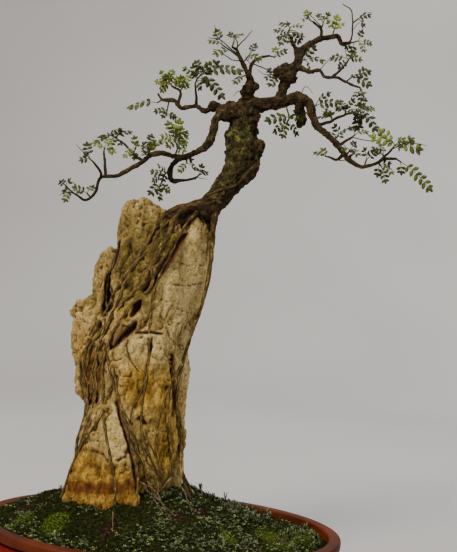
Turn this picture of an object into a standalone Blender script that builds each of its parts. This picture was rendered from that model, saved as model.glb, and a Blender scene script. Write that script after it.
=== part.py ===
"""Root over rock bonsai: a leaning, feathery-leaved tree rooted down a tall stone in an oval pot.

The tables below are in millimetres: X to the right, Y away from the front, Z up from the bench,
with the pot's centre at X 0, Y 0. The objects are in metres, under one empty that puts the middle
of the whole at the origin.
"""

import math
import random

import bmesh
import bpy
from mathutils import Matrix, Vector, noise
from mathutils.bvhtree import BVHTree

MM = 0.001
GAP = 0.35
ORIGIN_SHIFT = (-36.5, 0.0, 0.0)

# Pot: an oval tray with a flat lip, a groove and a bead under it, on four plain feet.
POT_HALF_LENGTH = 240.0
POT_HALF_WIDTH = 167.5
FOOT_HEIGHT = 10.0
FLOOR_TOP = 19.0
POT_SIDES = 32
POT_OUTSIDE = (
    (40, 10), (24, 18), (11, 36), (8.5, 50), (4.5, 51.5), (2.5, 55.5), (4.5, 60), (9, 62),
    (1, 66), (0, 76.5), (1.5, 78),
)
POT_INSIDE = ((14.5, 78), (16, 76.5), (16, 60), (24, 36), (58, 19))
FOOT_PLACES = ((-128, -70), (128, -70), (-128, 70), (128, 70))
FOOT_RADII = (20.0, 25.0)
DRAIN_PLACES = (-90, 90)
DRAIN_RADIUS = 12.0
ROUND_SIDES = 10
SCREEN_SIDE = 40.0
SCREEN_THICKNESS = 1.2
SCREEN_HOLE = 9.0
SCREEN_PITCH = 13.0

# Soil and moss: one mound, highest round the stone's foot.
MOUND_CENTRE = (-35.0, 12.0)
MOUND_REACH = (205.0, 150.0)
MOUND_EDGE = 69.0
MOUND_RISE = 61.0
MOUND_RINGS = (0.84, 0.66, 0.46)
MOSS_THICKNESS = 4.5
MOSS_RELIEF = 6.0
STONE_FOOT_TOP = 140.0
GROUND_CLEARANCE = 0.6
WEED_PLACES = ((96, -52), (128, 10), (70, 44), (52, -88), (-160, 8))
WEED_LEAVES = 3
WEED_LEAF_LENGTH = 9.0

# Stone: craggy blocks grown together. Each is the hull of its front points and of its back points.
ROCK_BLOCKS = {
    "peak": (
        (-85, -10, 497), (-76, -5, 507), (-53, 0, 511), (-36, -7, 504), (-18, -10, 491),
        (-4, -15, 476), (-20, -30, 427), (-36, -35, 376), (-46, -35, 330), (-75, -27, 320),
        (-90, -15, 371), (-92, -15, 422), (-88, -17, 458), (-82, 42, 494), (-52, 46, 505),
        (-22, 46, 486), (-8, 50, 440), (-14, 58, 380), (-20, 60, 310), (-84, 54, 310),
        (-94, 46, 400), (-90, 42, 460),
    ),
    "pale_face": (
        (15, -5, 494), (25, 7, 497), (33, 15, 489), (39, 20, 456), (38, 23, 424), (32, 23, 380),
        (14, 20, 316), (-20, -23, 314), (-36, -25, 332), (-27, -27, 377), (-15, -25, 428),
        (0, -19, 463), (16, 36, 488), (33, 38, 452), (30, 46, 390), (10, 54, 315), (-28, 54, 315),
        (-22, 48, 440),
    ),
    "fin_above": (
        (-119, 15, 417), (-108, 18, 439), (-98, 22, 442), (-84, 10, 432), (-102, 5, 376),
        (-117, 15, 378), (-122, 20, 402), (-84, 6, 340), (-112, 12, 345), (-114, 40, 418),
        (-99, 42, 440), (-88, 46, 350), (-112, 42, 350),
    ),
    "fin_below": (
        (-144, 15, 353), (-141, 20, 364), (-130, 15, 371), (-110, 18, 378), (-92, -8, 357),
        (-86, -15, 311), (-98, -12, 250), (-112, 0, 222), (-131, 10, 246), (-139, 20, 282),
        (-136, 44, 360), (-90, 50, 370), (-84, 56, 240), (-128, 46, 250),
    ),
    "column": (
        (-77, -25, 330), (-50, -33, 340), (-17, -31, 338), (15, 20, 326), (19, 23, 290),
        (9, 25, 243), (11, 20, 207), (18, 20, 167), (20, 20, 136), (1, -17, 134),
        (-29, -30, 134), (-50, -35, 179), (-70, -33, 223), (-88, -22, 260), (0, -12, 86),
        (24, 18, 86), (-112, -8, 86), (-50, -34, 86), (8, 62, 325), (4, 66, 200), (10, 64, 86),
        (-70, 62, 330), (-100, 60, 220), (-108, 52, 86),
    ),
    "slab": (
        (-77, -37, 247), (-53, -44, 207), (-42, -47, 179), (-31, -50, 155), (-24, -55, 121),
        (-76, -63, 111), (-131, -32, 105), (-118, -25, 159), (-102, -28, 200), (-24, -52, 84),
        (-78, -60, 84), (-128, -28, 84), (-92, 10, 240), (-60, 0, 200), (-30, 0, 84),
        (-124, 26, 160), (-126, 30, 84),
    ),
}
# Each cleft and hollow is a run of (x, y, z, radius).
ROCK_CLEFTS = (
    ((6, -22, 476, 3), (-10, -31, 444, 6), (-20, -35, 424, 6.5), (-32, -39, 404, 5.5),
     (-45, -41, 382, 4)),
    ((-49, -44, 370, 5.5), (-54, -24, 366, 8), (-58, -26, 347, 6), (-66, -30, 316, 4)),
    ((-64, -40, 330, 3), (-48, -38, 337, 4), (-32, -36, 338, 3.5), (-14, -33, 335, 3)),
    ((-86, -24, 452, 4), (-96, -10, 425, 7), (-97, -8, 402, 7), (-100, -12, 374, 6),
     (-93, -16, 352, 5)),
    ((6, -12, 304, 5), (7, -2, 276, 6), (7, 0, 246, 4)),
    ((-66, -44, 226, 3), (-51, -51, 194, 4), (-40, -55, 164, 3.5), (-32, -54, 138, 3)),
)
ROCK_SLITS = (
    ((-6, -70, 300, 3.2), (-6, 110, 296, 3.2)),
    ((-4, -70, 293, 3.2), (-4, 110, 289, 3.2)),
)
ROCK_VOXEL = 4.0
ROCK_TRIANGLES = 1280

# Trunk and limbs: runs of (x, y, z, radius).
LIMBS = {
    "trunk": (
        (25, 1, 493, 11.4), (32, 1, 507, 14.7), (42, 3, 521, 16.1), (50, 5, 534, 16.8),
        (60, 7, 549, 18.8), (68, 10, 562, 22.1), (70, 12, 576, 22.8), (69, 13, 588, 22.8),
        (65, 15, 601, 20.1), (66, 15, 614, 18.1), (67, 15, 628, 18.8), (65, 15, 643, 20.1),
        (68, 14, 655, 16.1), (71, 13, 665, 8.7),
    ),
    "left_low": (
        (59, 15, 633, 9.4), (45, 9, 632, 7.4), (32, 2, 627, 5.7), (28, -4, 609, 5.4),
        (25, -7, 595, 5.4), (17, -12, 582, 4.7), (5, -17, 574, 4.2), (-9, -20, 566, 4.0),
        (-23, -23, 567, 3.5), (-39, -27, 569, 3.4), (-52, -30, 564, 3.4), (-62, -35, 554, 3.4),
        (-75, -39, 544, 2.8), (-88, -44, 534, 2.5), (-103, -49, 530, 2.3), (-112, -52, 526, 2.0),
        (-115, -55, 510, 2.0), (-125, -59, 498, 1.7), (-140, -62, 504, 1.5),
    ),
    "left_high": (
        (55, 18, 641, 8.0), (40, 25, 643, 6.0), (25, 34, 645, 4.7), (11, 44, 641, 3.4),
        (-1, 53, 649, 3.0), (-21, 63, 646, 3.0), (-34, 69, 657, 3.0), (-50, 76, 658, 2.0),
        (-58, 81, 667, 1.6),
    ),
    "centre": (
        (69, 12, 660, 8.0), (72, 5, 675, 5.4), (68, -1, 686, 3.7), (58, -7, 702, 2.8),
        (51, -12, 714, 2.0), (44, -15, 718, 1.5),
    ),
    "centre_right": ((68, 1, 682, 3.4), (72, 9, 704, 2.4), (81, 15, 713, 2.0), (95, 21, 719, 1.6)),
    "right_low": (
        (66, 15, 646, 10.7), (82, 12, 649, 10.1), (101, 9, 651, 8.7), (120, 4, 654, 7.4),
        (136, -1, 661, 7.4), (151, -6, 654, 6.0), (158, -11, 637, 4.7), (165, -17, 621, 3.8),
        (178, -23, 610, 3.4), (192, -30, 596, 3.4), (203, -36, 581, 3.1), (219, -43, 570, 2.7),
        (233, -49, 571, 2.3), (250, -55, 579, 2.0), (264, -60, 581, 1.6),
    ),
    "right_stub": ((139, 1, 654, 6.0), (143, 4, 640, 6.0), (144, 5, 627, 5.4)),
    "right_high": (
        (109, 9, 653, 6.7), (115, 18, 666, 6.0), (118, 28, 681, 6.7), (122, 34, 695, 8.7),
        (128, 39, 706, 8.0), (136, 44, 718, 6.0), (137, 49, 730, 4.7), (134, 52, 738, 4.0),
    ),
    "high_left": ((136, 49, 729, 4.0), (129, 50, 743, 3.1), (123, 52, 755, 2.0)),
    "high_right": (
        (136, 49, 729, 4.0), (145, 55, 742, 3.4), (155, 61, 752, 3.1), (167, 68, 760, 2.7),
        (190, 76, 768, 2.0), (200, 82, 759, 1.7), (211, 87, 763, 1.5),
    ),
    "high_top": ((166, 66, 758, 2.4), (166, 65, 773, 2.0), (154, 63, 782, 1.5)),
    "high_tip": (
        (190, 76, 767, 1.7), (211, 79, 764, 1.6), (213, 76, 784, 1.3), (210, 73, 806, 1.1),
        (193, 71, 813, 1.0),
    ),
    "high_side": (
        (136, 41, 712, 4.4), (152, 28, 703, 2.8), (164, 18, 704, 2.3), (173, 9, 693, 2.1),
        (188, -1, 691, 1.9), (205, -11, 682, 1.7), (217, -17, 677, 1.3),
    ),
    "side_fork": ((180, 4, 692, 2.0), (193, 10, 706, 1.6), (201, 15, 717, 1.3)),
    "drop": (
        (-13, -20, 565, 3.7), (-21, -11, 559, 3.2), (-26, -1, 551, 3.4), (-23, 7, 537, 3.1),
        (-7, 15, 540, 2.0), (8, 23, 545, 1.5),
    ),
    "left_fork": ((-105, -49, 530, 2.0), (-108, -39, 547, 2.0), (-112, -31, 563, 1.3)),
    "left_twig": ((-110, -52, 528, 1.7), (-110, -65, 536, 1.7), (-118, -75, 545, 1.3)),
    "left_rise": ((-61, -33, 556, 2.3), (-74, -20, 566, 1.9), (-87, -9, 577, 1.6), (-98, -1, 585, 1.2)),
    "high_shoot": ((-1, 53, 649, 2.4), (-2, 47, 663, 1.7), (-4, 41, 677, 1.3)),
    "high_out": ((-27, 66, 652, 2.4), (-26, 73, 671, 1.9), (-39, 82, 680, 1.5)),
    "right_back": ((200, -35, 587, 2.7), (194, -23, 580, 2.0), (182, -14, 583, 1.3)),
    "right_cluster": (
        (164, -15, 624, 2.7), (182, -1, 632, 2.0), (202, 10, 644, 1.7), (219, 21, 652, 1.3),
    ),
    "right_thin": ((192, -30, 596, 2.4), (204, -17, 605, 1.9), (213, -4, 613, 1.3)),
    "right_far": ((239, -51, 573, 2.0), (248, -65, 581, 1.7), (255, -78, 590, 1.3)),
}
# Limbs and roots that start stouter than this radius are six-sided, and the others four-sided.
STOUT_LIMB = 4.5
DRAPE_PASSES = 6
# Burls on the trunk and crown: (x, y, z, radius).
KNOBS = (
    (85, 6, 588, 13), (50, 9, 650, 14), (29, 25, 651, 9), (80, 13, 675, 11), (122, 22, 699, 12),
)

# Roots over the stone: runs of (x, z, radius), laid on its front (-1) or its back (+1).
# ROOT_CRESTS brings the back ones over the stone's top, as (x, y, z, radius).
ROOT_CRESTS = {
    "back_right": ((44, 5, 524, 12.0), (37, 24, 511, 9.0), (31, 42, 497, 7.0)),
    "back_left": ((40, 4, 520, 11.0), (20, 22, 514, 8.5), (2, 42, 509, 7.0), (-10, 55, 499, 6.0)),
}
ROOTS = {
    "right_outer": (-1, (
        (42, 517, 9.7), (39, 501, 7.7), (38, 486, 6.0), (38, 465, 5.2), (38, 443, 4.8),
        (37, 421, 4.7), (35, 399, 4.4), (31, 377, 4.0), (26, 358, 4.0), (20, 336, 3.7),
        (15, 314, 3.4), (7, 270, 3.4), (8, 226, 3.4), (17, 184, 3.4), (24, 144, 3.7),
        (38, 104, 4.0),
    )),
    "saddle": (-1, (
        (30, 508, 12.1), (15, 505, 9.4), (1, 502, 8.0), (-9, 495, 6.7), (-15, 481, 6.0),
        (-20, 465, 5.4), (-27, 448, 4.7), (-34, 432, 4.4), (-41, 418, 4.0), (-46, 401, 3.7),
        (-55, 388, 3.4), (-67, 376, 3.4), (-78, 361, 3.0), (-88, 347, 3.0), (-96, 331, 3.0),
        (-103, 295, 2.7), (-103, 258, 2.7), (-101, 220, 2.7), (-108, 188, 2.7), (-120, 155, 2.7),
        (-130, 123, 2.7), (-139, 86, 2.7),
    )),
    "bundle": (-1, (
        (10, 506, 8.0), (-13, 500, 6.0), (-26, 490, 4.7), (-36, 476, 4.0), (-45, 457, 3.7),
        (-54, 438, 3.4), (-63, 421, 3.4), (-72, 406, 3.4), (-81, 390, 3.0), (-90, 372, 3.0),
        (-98, 353, 2.7), (-107, 336, 2.7), (-113, 320, 2.7), (-119, 304, 2.7), (-121, 285, 2.7),
        (-120, 266, 2.7), (-116, 248, 2.4), (-111, 232, 2.4), (-106, 218, 2.6), (-103, 206, 2.7),
    )),
    "boundary": (-1, (
        (-38, 420, 3.4), (-36, 400, 3.0), (-42, 386, 3.0), (-62, 366, 2.7), (-72, 348, 2.7),
        (-82, 331, 2.7), (-88, 315, 2.7), (-84, 284, 2.7), (-71, 251, 2.7), (-53, 218, 2.7),
        (-40, 188, 2.7), (-28, 160, 2.8), (-19, 131, 3.4), (-12, 98, 3.4),
    )),
    "slab": (-1, (
        (-88, 318, 2.7), (-94, 281, 2.3), (-88, 240, 2.3), (-80, 203, 2.3), (-69, 168, 2.3),
        (-60, 132, 2.3), (-58, 94, 2.4),
    )),
    "thin": (-1, (
        (17, 500, 4.0), (6, 485, 3.4), (-4, 468, 2.7), (-12, 449, 2.4), (-19, 430, 2.3),
        (-27, 411, 2.1), (-31, 393, 2.1), (-34, 374, 2.0), (-35, 353, 2.0), (-35, 332, 2.0),
        (-32, 291, 2.0), (-36, 246, 2.0), (-34, 204, 2.0), (-20, 170, 2.1), (-3, 139, 2.4),
        (14, 100, 2.4),
    )),
    "right_low": (-1, (
        (13, 300, 2.7), (-2, 268, 2.4), (-10, 240, 2.3), (-14, 210, 2.1), (-14, 184, 2.1),
        (-9, 162, 2.3), (-5, 144, 2.4),
    )),
    "back_right": (1, (
        (26, 478, 5.4), (16, 442, 4.4), (8, 405, 4.0),
        (2, 365, 3.8), (-4, 325, 3.5), (-2, 280, 3.3), (4, 235, 3.2), (8, 190, 3.1),
        (12, 150, 3.2), (16, 118, 3.4), (18, 92, 3.4),
    )),
    "back_left": (1, (
        (-22, 482, 5.0), (-34, 455, 4.4), (-46, 420, 4.0),
        (-56, 380, 3.8), (-64, 335, 3.5), (-70, 290, 3.3), (-74, 245, 3.2), (-80, 200, 3.1),
        (-86, 160, 3.2), (-92, 122, 3.4), (-96, 92, 3.4),
    )),
}

# Leafy shoots: where each leaves its twig, its own points, then its leaves as
# (shoot point, leaf tip).
SPRAYS = {
    "left_tip": (
        ((-140, -62, 504), (-146, -65, 508), (-151, -67, 513)),
        ((1, (-151, -73, 491)), (1, (-159, -57, 507)), (2, (-145, -72, 523)), (2, (-162, -60, 520))),
    ),
    "left_back": (((-120, -57, 501), (-125, -60, 506)), ((1, (-143, -71, 512)), (1, (-118, -51, 519)))),
    "left_twig": (
        ((-118, -75, 545), (-122, -78, 548)),
        ((1, (-135, -84, 544)), (1, (-130, -82, 555)), (1, (-129, -70, 571))),
    ),
    "left_fork": (
        ((-112, -31, 563), (-112, -30, 569)),
        ((1, (-127, -42, 574)), (1, (-104, -18, 586)), (1, (-95, -32, 564))),
    ),
    "left_fan": (
        ((-98, -1, 585), (-104, 2, 589), (-111, 5, 592)),
        ((1, (-81, 8, 600)), (1, (-108, -10, 568)), (2, (-130, -3, 578)), (2, (-95, -3, 601))),
    ),
    "left_mid": (((-75, -19, 567), (-71, -27, 574)), ((1, (-86, -35, 558)), (1, (-74, -37, 588)))),
    "left_rise": (
        ((-56, -28, 563), (-53, -23, 572)),
        ((1, (-63, -35, 568)), (1, (-53, -15, 596)), (1, (-37, -27, 587))),
    ),
    "left_crown": (
        ((-20, -23, 567), (-17, -27, 577), (-21, -28, 587)),
        ((1, (-3, -37, 585)), (2, (-40, -41, 590)), (2, (-33, -27, 613)), (2, (-16, -39, 615)),
         (2, (-5, -19, 603))),
    ),
    "drop_leaf": (
        ((-26, -1, 551), (-33, -6, 543), (-36, -11, 531)),
        ((1, (-52, -15, 546)), (1, (-51, 5, 533)), (2, (-51, -21, 513)), (2, (-37, -3, 507))),
    ),
    "drop_top": (((-5, -17, 568), (-4, -12, 560)), ((1, (10, -5, 552)), (1, (-14, -22, 546)))),
    "drop_tip": (((8, 23, 545), (13, 28, 552)), ((1, (25, 34, 556)), (1, (15, 22, 566)))),
    "high_long": (((-51, 76, 658), (-58, 79, 654)), ((1, (-102, 83, 644)),)),
    "high_hang": (
        ((-41, 73, 655), (-42, 69, 643), (-43, 68, 634)),
        ((1, (-61, 63, 638)), (2, (-26, 73, 635))),
    ),
    "high_out": (
        ((-39, 82, 680), (-44, 85, 686)),
        ((1, (-66, 91, 687)), (1, (-58, 79, 701)), (1, (-40, 91, 707))),
    ),
    "high_mid": (((-26, 73, 672), (-22, 68, 678)), ((1, (-27, 61, 693)), (1, (-13, 73, 697)))),
    "high_fan": (
        ((-4, 41, 677), (-1, 39, 685), (7, 36, 692)),
        ((1, (-23, 32, 697)), (1, (21, 48, 678)), (2, (-8, 45, 711)), (2, (15, 27, 707)),
         (2, (63, 39, 701))),
    ),
    "centre_low": (((68, -1, 686), (61, -7, 682)), ((1, (49, -15, 669)), (1, (49, -1, 691)))),
    "centre_left": (
        ((57, -7, 705), (43, -17, 712), (31, -25, 717)),
        ((1, (19, -29, 703)), (2, (11, -30, 721)), (2, (20, -20, 740))),
    ),
    "centre_top": (((44, -15, 718), (46, -14, 726)), ((1, (38, -10, 740)), (1, (57, -4, 741)))),
    "centre_bare": (((60, -7, 700), (67, -14, 709)), ((1, (76, -8, 728)), (1, (85, -22, 702)))),
    "centre_end": (((95, 21, 719), (103, 23, 718)), ((1, (103, 30, 735)), (1, (119, 16, 729)))),
    "crown_dark": (
        ((120, 34, 696), (110, 25, 693)),
        ((1, (89, 19, 688)), (1, (97, 12, 675)), (1, (93, 29, 704))),
    ),
    "upper_fan": (
        ((123, 52, 755), (119, 53, 761), (122, 55, 769)),
        ((1, (98, 57, 765)), (1, (108, 47, 740)), (1, (145, 59, 759)), (2, (106, 64, 778)),
         (2, (140, 44, 771))),
    ),
    "upper_twig": (((154, 63, 782), (149, 63, 784)), ((1, (135, 57, 783)), (1, (143, 69, 801)))),
    "upper_fork": (((166, 65, 772), (168, 61, 780)), ((1, (175, 56, 796)), (1, (160, 68, 797)))),
    "upper_bright": (
        ((183, 73, 765), (185, 69, 775)),
        ((1, (173, 61, 786)), (1, (189, 75, 800)), (1, (199, 63, 785))),
    ),
    "upper_right": (
        ((211, 87, 763), (217, 89, 765), (222, 89, 767)),
        ((1, (216, 95, 748)), (2, (228, 87, 784)), (2, (245, 95, 765)), (2, (233, 81, 749))),
    ),
    "upper_tip": (((213, 76, 790), (218, 73, 794)), ((1, (236, 67, 801)), (1, (231, 79, 785)))),
    "shoulder": (((137, 44, 722), (145, 36, 721)), ((1, (173, 29, 721)), (1, (154, 39, 708)))),
    "fork_leaf": (
        ((201, 15, 717), (203, 17, 722)),
        ((1, (177, 26, 724)), (1, (205, 8, 734)), (1, (222, 12, 721))),
    ),
    "side_large": (((199, -6, 686), (207, -1, 694)), ((1, (234, 7, 707)), (1, (235, -5, 683)))),
    "side_tip": (((217, -17, 677), (218, -19, 672)), ((1, (219, -24, 657)), (1, (207, -28, 662)))),
    "under_limb": (
        ((122, 1, 649), (127, -4, 633), (125, -6, 625)),
        ((1, (94, -14, 624)), (1, (140, -16, 631)), (2, (119, -13, 602)), (2, (143, 1, 610)),
         (2, (106, 3, 611))),
    ),
    "limb_long": (((156, -7, 647), (162, -15, 650)), ((1, (193, -23, 654)),)),
    "cluster_low": (((185, 1, 633), (185, 9, 640)), ((1, (166, 17, 640)), (1, (174, 1, 650)))),
    "cluster_mid": (((203, 12, 645), (203, 5, 650)), ((1, (195, 13, 666)), (1, (213, -3, 666)))),
    "cluster_end": (
        ((219, 21, 652), (224, 23, 654)),
        ((1, (251, 16, 626)), (1, (246, 32, 662)), (1, (231, 20, 673)), (1, (229, 38, 639))),
    ),
    "elbow": (((186, -27, 602), (192, -30, 610)), ((1, (184, -41, 623)), (1, (201, -39, 617)))),
    "limb_mid": (
        ((203, -36, 583), (207, -39, 590)),
        ((1, (220, -51, 583)), (1, (216, -31, 604)), (1, (192, -49, 592))),
    ),
    "limb_thin": (((213, -4, 613), (217, -3, 617)), ((1, (236, 2, 624)), (1, (209, 6, 630)))),
    "limb_back": (((182, -14, 583), (178, -12, 584)), ((1, (162, -7, 589)),)),
    "low_inner": (((226, -46, 569), (229, -43, 579)), ((1, (223, -53, 594)), (1, (244, -37, 594)))),
    "low_outer": (((250, -55, 579), (247, -62, 584)), ((1, (230, -70, 592)), (1, (243, -52, 602)))),
    "far_twig": (
        ((255, -78, 590), (258, -81, 595)),
        ((1, (223, -85, 604)), (1, (271, -75, 606)), (1, (293, -87, 591))),
    ),
    "far_leaf": (((264, -60, 581), (270, -62, 577)), ((1, (313, -66, 542)), (1, (273, -58, 560)))),
    "low_hang": (((243, -52, 575), (247, -55, 570)), ((1, (254, -59, 548)), (1, (262, -67, 560)))),
}
SHOOT_RADIUS = 1.0
SHOOT_REACH = 5.0
STEEPEST_SHOOT = 1.3
LEAF_THICKNESS = 0.62
LEAF_RIB = 0.62
LEAFLET_LENGTH = 7.5
LEAFLET_PITCH = 8.8
LEAFLET_PAIRS = 4
PETIOLE = 4.5
LEAF_SPACING = 1.8
LEAF_ARCH = 0.10
LEAF_FACING = (0.0, -0.62, 0.78)


def place(values):
    """A table's millimetres as a point in metres."""
    return Vector(values) * MM


def clear_scene():
    for obj in list(bpy.data.objects):
        bpy.data.objects.remove(obj, do_unlink=True)


def new_collection(name):
    collection = bpy.data.collections.new(name)
    bpy.context.scene.collection.children.link(collection)
    return collection


def material(name, colour, roughness, metallic=0.0):
    found = bpy.data.materials.get(name) or bpy.data.materials.new(name)
    found.use_nodes = True
    shader = found.node_tree.nodes["Principled BSDF"]
    shader.inputs["Base Color"].default_value = (*colour, 1.0)
    shader.inputs["Roughness"].default_value = roughness
    shader.inputs["Metallic"].default_value = metallic
    return found


def mesh_object(name, bm, collection):
    """The bmesh as an object, with its faces pointing out."""
    bmesh.ops.recalc_face_normals(bm, faces=bm.faces)
    mesh = bpy.data.meshes.new(name)
    bm.to_mesh(mesh)
    bm.free()
    obj = bpy.data.objects.new(name, mesh)
    collection.objects.link(obj)
    return obj


def apply_modifiers(obj):
    graph = bpy.context.evaluated_depsgraph_get()
    mesh = bpy.data.meshes.new_from_object(obj.evaluated_get(graph))
    obj.modifiers.clear()
    obj.data = mesh


def as_bmesh(obj):
    bm = bmesh.new()
    bm.from_mesh(obj.data)
    return bm


def combine(obj, others, operation):
    """Joins the others to obj, or cuts them from it, in one Boolean, and removes them."""
    operands = bpy.data.collections.new(obj.name + "_operands")
    bpy.context.scene.collection.children.link(operands)
    for other in others:
        operands.objects.link(other)
    boolean = obj.modifiers.new("Combine", "BOOLEAN")
    boolean.operation = operation
    boolean.operand_type = "COLLECTION"
    boolean.collection = operands
    boolean.solver = "EXACT"
    apply_modifiers(obj)
    for other in others:
        bpy.data.objects.remove(other, do_unlink=True)
    bpy.data.collections.remove(operands)
    return obj


def keep_largest_body(obj):
    """Drops the loose scraps that a cut leaves."""
    bm = as_bmesh(obj)
    unseen = set(bm.verts)
    bodies = []
    while unseen:
        body = set()
        reached = [unseen.pop()]
        while reached:
            vert = reached.pop()
            body.add(vert)
            for link in vert.link_edges:
                other = link.other_vert(vert)
                if other in unseen:
                    unseen.remove(other)
                    reached.append(other)
        bodies.append(body)
    bodies.sort(key=len)
    scraps = [vert for body in bodies[:-1] for vert in body]
    bmesh.ops.delete(bm, geom=scraps, context="VERTS")
    bm.to_mesh(obj.data)
    bm.free()


def swollen_copy(obj, by, collection):
    """A cutter a little larger than obj all over, which leaves the gap round it."""
    bm = as_bmesh(obj)
    bm.normal_update()
    for vert in bm.verts:
        vert.co += vert.normal * by * MM * min(vert.calc_shell_factor(), 2.5)
    return mesh_object(obj.name + "_swollen", bm, collection)


def skin(name, rings, collection):
    """A closed solid through rings of points; a ring of one point closes its end."""
    bm = bmesh.new()
    loops = [[bm.verts.new(point) for point in ring] for ring in rings]
    for before, after in zip(loops, loops[1:]):
        sides = max(len(before), len(after))
        for i in range(sides):
            j = (i + 1) % sides
            if len(before) == 1:
                bm.faces.new((before[0], after[i], after[j]))
            elif len(after) == 1:
                bm.faces.new((before[i], after[0], before[j]))
            else:
                bm.faces.new((before[i], after[i], after[j]))
                bm.faces.new((before[i], after[j], before[j]))
    return mesh_object(name, bm, collection)


def tube(name, run, sides_resolution, collection):
    """A tapered tube along (x, y, z, radius) points, as a mesh with its caps welded."""
    data = bpy.data.curves.new(name, "CURVE")
    data.dimensions = "3D"
    data.bevel_depth = MM
    data.bevel_resolution = sides_resolution
    data.render_resolution_u = 0
    data.use_fill_caps = True
    spline = data.splines.new("POLY")
    spline.points.add(len(run) - 1)
    for point, (x, y, z, radius) in zip(spline.points, run):
        point.co = (x * MM, y * MM, z * MM, 1.0)
        point.radius = radius
    curve = bpy.data.objects.new(name + "_curve", data)
    collection.objects.link(curve)
    graph = bpy.context.evaluated_depsgraph_get()
    mesh = bpy.data.meshes.new_from_object(curve.evaluated_get(graph))
    bm = bmesh.new()
    bm.from_mesh(mesh)
    bmesh.ops.remove_doubles(bm, verts=bm.verts, dist=1e-6)
    obj = mesh_object(name, bm, collection)
    obj.matrix_world = curve.matrix_world
    bpy.data.objects.remove(curve, do_unlink=True)
    return obj


def ball(name, centre, radius, collection, subdivisions=1):
    bm = bmesh.new()
    bmesh.ops.create_icosphere(
        bm, subdivisions=subdivisions, radius=radius * MM, matrix=Matrix.Translation(place(centre))
    )
    return mesh_object(name, bm, collection)


def hull(name, points, collection):
    bm = bmesh.new()
    for point in points:
        bm.verts.new(place(point))
    found = bmesh.ops.convex_hull(bm, input=bm.verts)
    spare = set(found["geom_interior"]) | set(found["geom_unused"])
    spare_verts = [item for item in spare if isinstance(item, bmesh.types.BMVert)]
    bmesh.ops.delete(bm, geom=spare_verts, context="VERTS")
    return mesh_object(name, bm, collection)


def oval(inset, height):
    """The pot's oval, drawn in by inset all round, at a height."""
    long_half, short_half = POT_HALF_LENGTH - inset, POT_HALF_WIDTH - inset
    turns = [2 * math.pi * i / POT_SIDES for i in range(POT_SIDES)]
    return [place((long_half * math.cos(t), short_half * math.sin(t), height)) for t in turns]


def cylinder(name, centre, radii, heights, collection):
    """An upright round with its (base, top) radii, between its (low, high) heights."""
    bm = bmesh.new()
    middle = place((*centre, sum(heights) / 2))
    bmesh.ops.create_cone(
        bm, cap_ends=True, segments=ROUND_SIDES, radius1=radii[0] * MM, radius2=radii[1] * MM,
        depth=(heights[1] - heights[0]) * MM, matrix=Matrix.Translation(middle),
    )
    return mesh_object(name, bm, collection)


def box(name, centre, size, collection):
    bm = bmesh.new()
    bmesh.ops.create_cube(bm, size=1.0)
    bmesh.ops.scale(bm, vec=place(size), verts=bm.verts)
    bmesh.ops.translate(bm, vec=place(centre), verts=bm.verts)
    return mesh_object(name, bm, collection)


def make_pot(parts, cutters):
    outside = [oval(*step) for step in POT_OUTSIDE]
    inside = [oval(*step) for step in POT_INSIDE]
    under = [place((0, 0, POT_OUTSIDE[0][1]))]
    floor = [place((0, 0, POT_INSIDE[-1][1]))]
    pot = skin("pot", [under, *outside, *inside, floor], parts)
    feet = [
        cylinder(f"foot_{i}", spot, FOOT_RADII, (0, FOOT_HEIGHT + 3), cutters)
        for i, spot in enumerate(FOOT_PLACES)
    ]
    combine(pot, feet, "UNION")
    drains = [
        cylinder(f"drain_{i}", (x, 0), (DRAIN_RADIUS, DRAIN_RADIUS), (0, FLOOR_TOP + 10), cutters)
        for i, x in enumerate(DRAIN_PLACES)
    ]
    return combine(pot, drains, "DIFFERENCE")


def make_screens(parts, cutters):
    height = FLOOR_TOP + GAP + SCREEN_THICKNESS / 2
    screens = []
    for side, x in zip(("left", "right"), DRAIN_PLACES):
        size = (SCREEN_SIDE, SCREEN_SIDE, SCREEN_THICKNESS)
        screen = box(f"drain_screen_{side}", (x, 0, height), size, parts)
        holes = [
            box(
                f"hole_{i}_{j}", (x + i * SCREEN_PITCH, j * SCREEN_PITCH, height),
                (SCREEN_HOLE, SCREEN_HOLE, 4 * SCREEN_THICKNESS), cutters,
            )
            for i in (-0.5, 0.5)
            for j in (-0.5, 0.5)
        ]
        screens.append(combine(screen, holes, "DIFFERENCE"))
    return screens


def mound_height(x, y):
    """Height of the moss over the point."""
    across = (x - MOUND_CENTRE[0]) / MOUND_REACH[0]
    along = (y - MOUND_CENTRE[1]) / MOUND_REACH[1]
    fall = max(0.0, 1.0 - across * across - along * along)
    return MOUND_EDGE + MOUND_RISE * fall**1.4


def mound_ring(share, wall_inset, below, relief=0.0):
    """A ring of the mound at this share of the way out to the wall."""
    ring = []
    for i in range(POT_SIDES):
        turn = 2 * math.pi * i / POT_SIDES
        wall_x = (POT_HALF_LENGTH - wall_inset) * math.cos(turn)
        wall_y = (POT_HALF_WIDTH - wall_inset) * math.sin(turn)
        x = MOUND_CENTRE[0] + share * (wall_x - MOUND_CENTRE[0])
        y = MOUND_CENTRE[1] + share * (wall_y - MOUND_CENTRE[1])
        bump = relief * noise.noise(Vector((x, y, 0)) / 26.0)
        ring.append(place((x, y, mound_height(x, y) - below + bump)))
    return ring


def mound_top(below):
    """The mound's highest point."""
    return [place((*MOUND_CENTRE, mound_height(*MOUND_CENTRE) - below))]


def make_soil(parts):
    below = MOSS_THICKNESS + GAP
    inset = POT_INSIDE[2][0] + GAP
    top = [mound_ring(share, inset, below) for share in (*MOUND_RINGS[::-1], 1.0)]
    wall = [oval(step + GAP, height + GAP) for step, height in POT_INSIDE[2:]]
    bottom = [place((0, 0, FLOOR_TOP + GAP))]
    return skin("soil", [mound_top(below), *top, *wall, bottom], parts)


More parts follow.
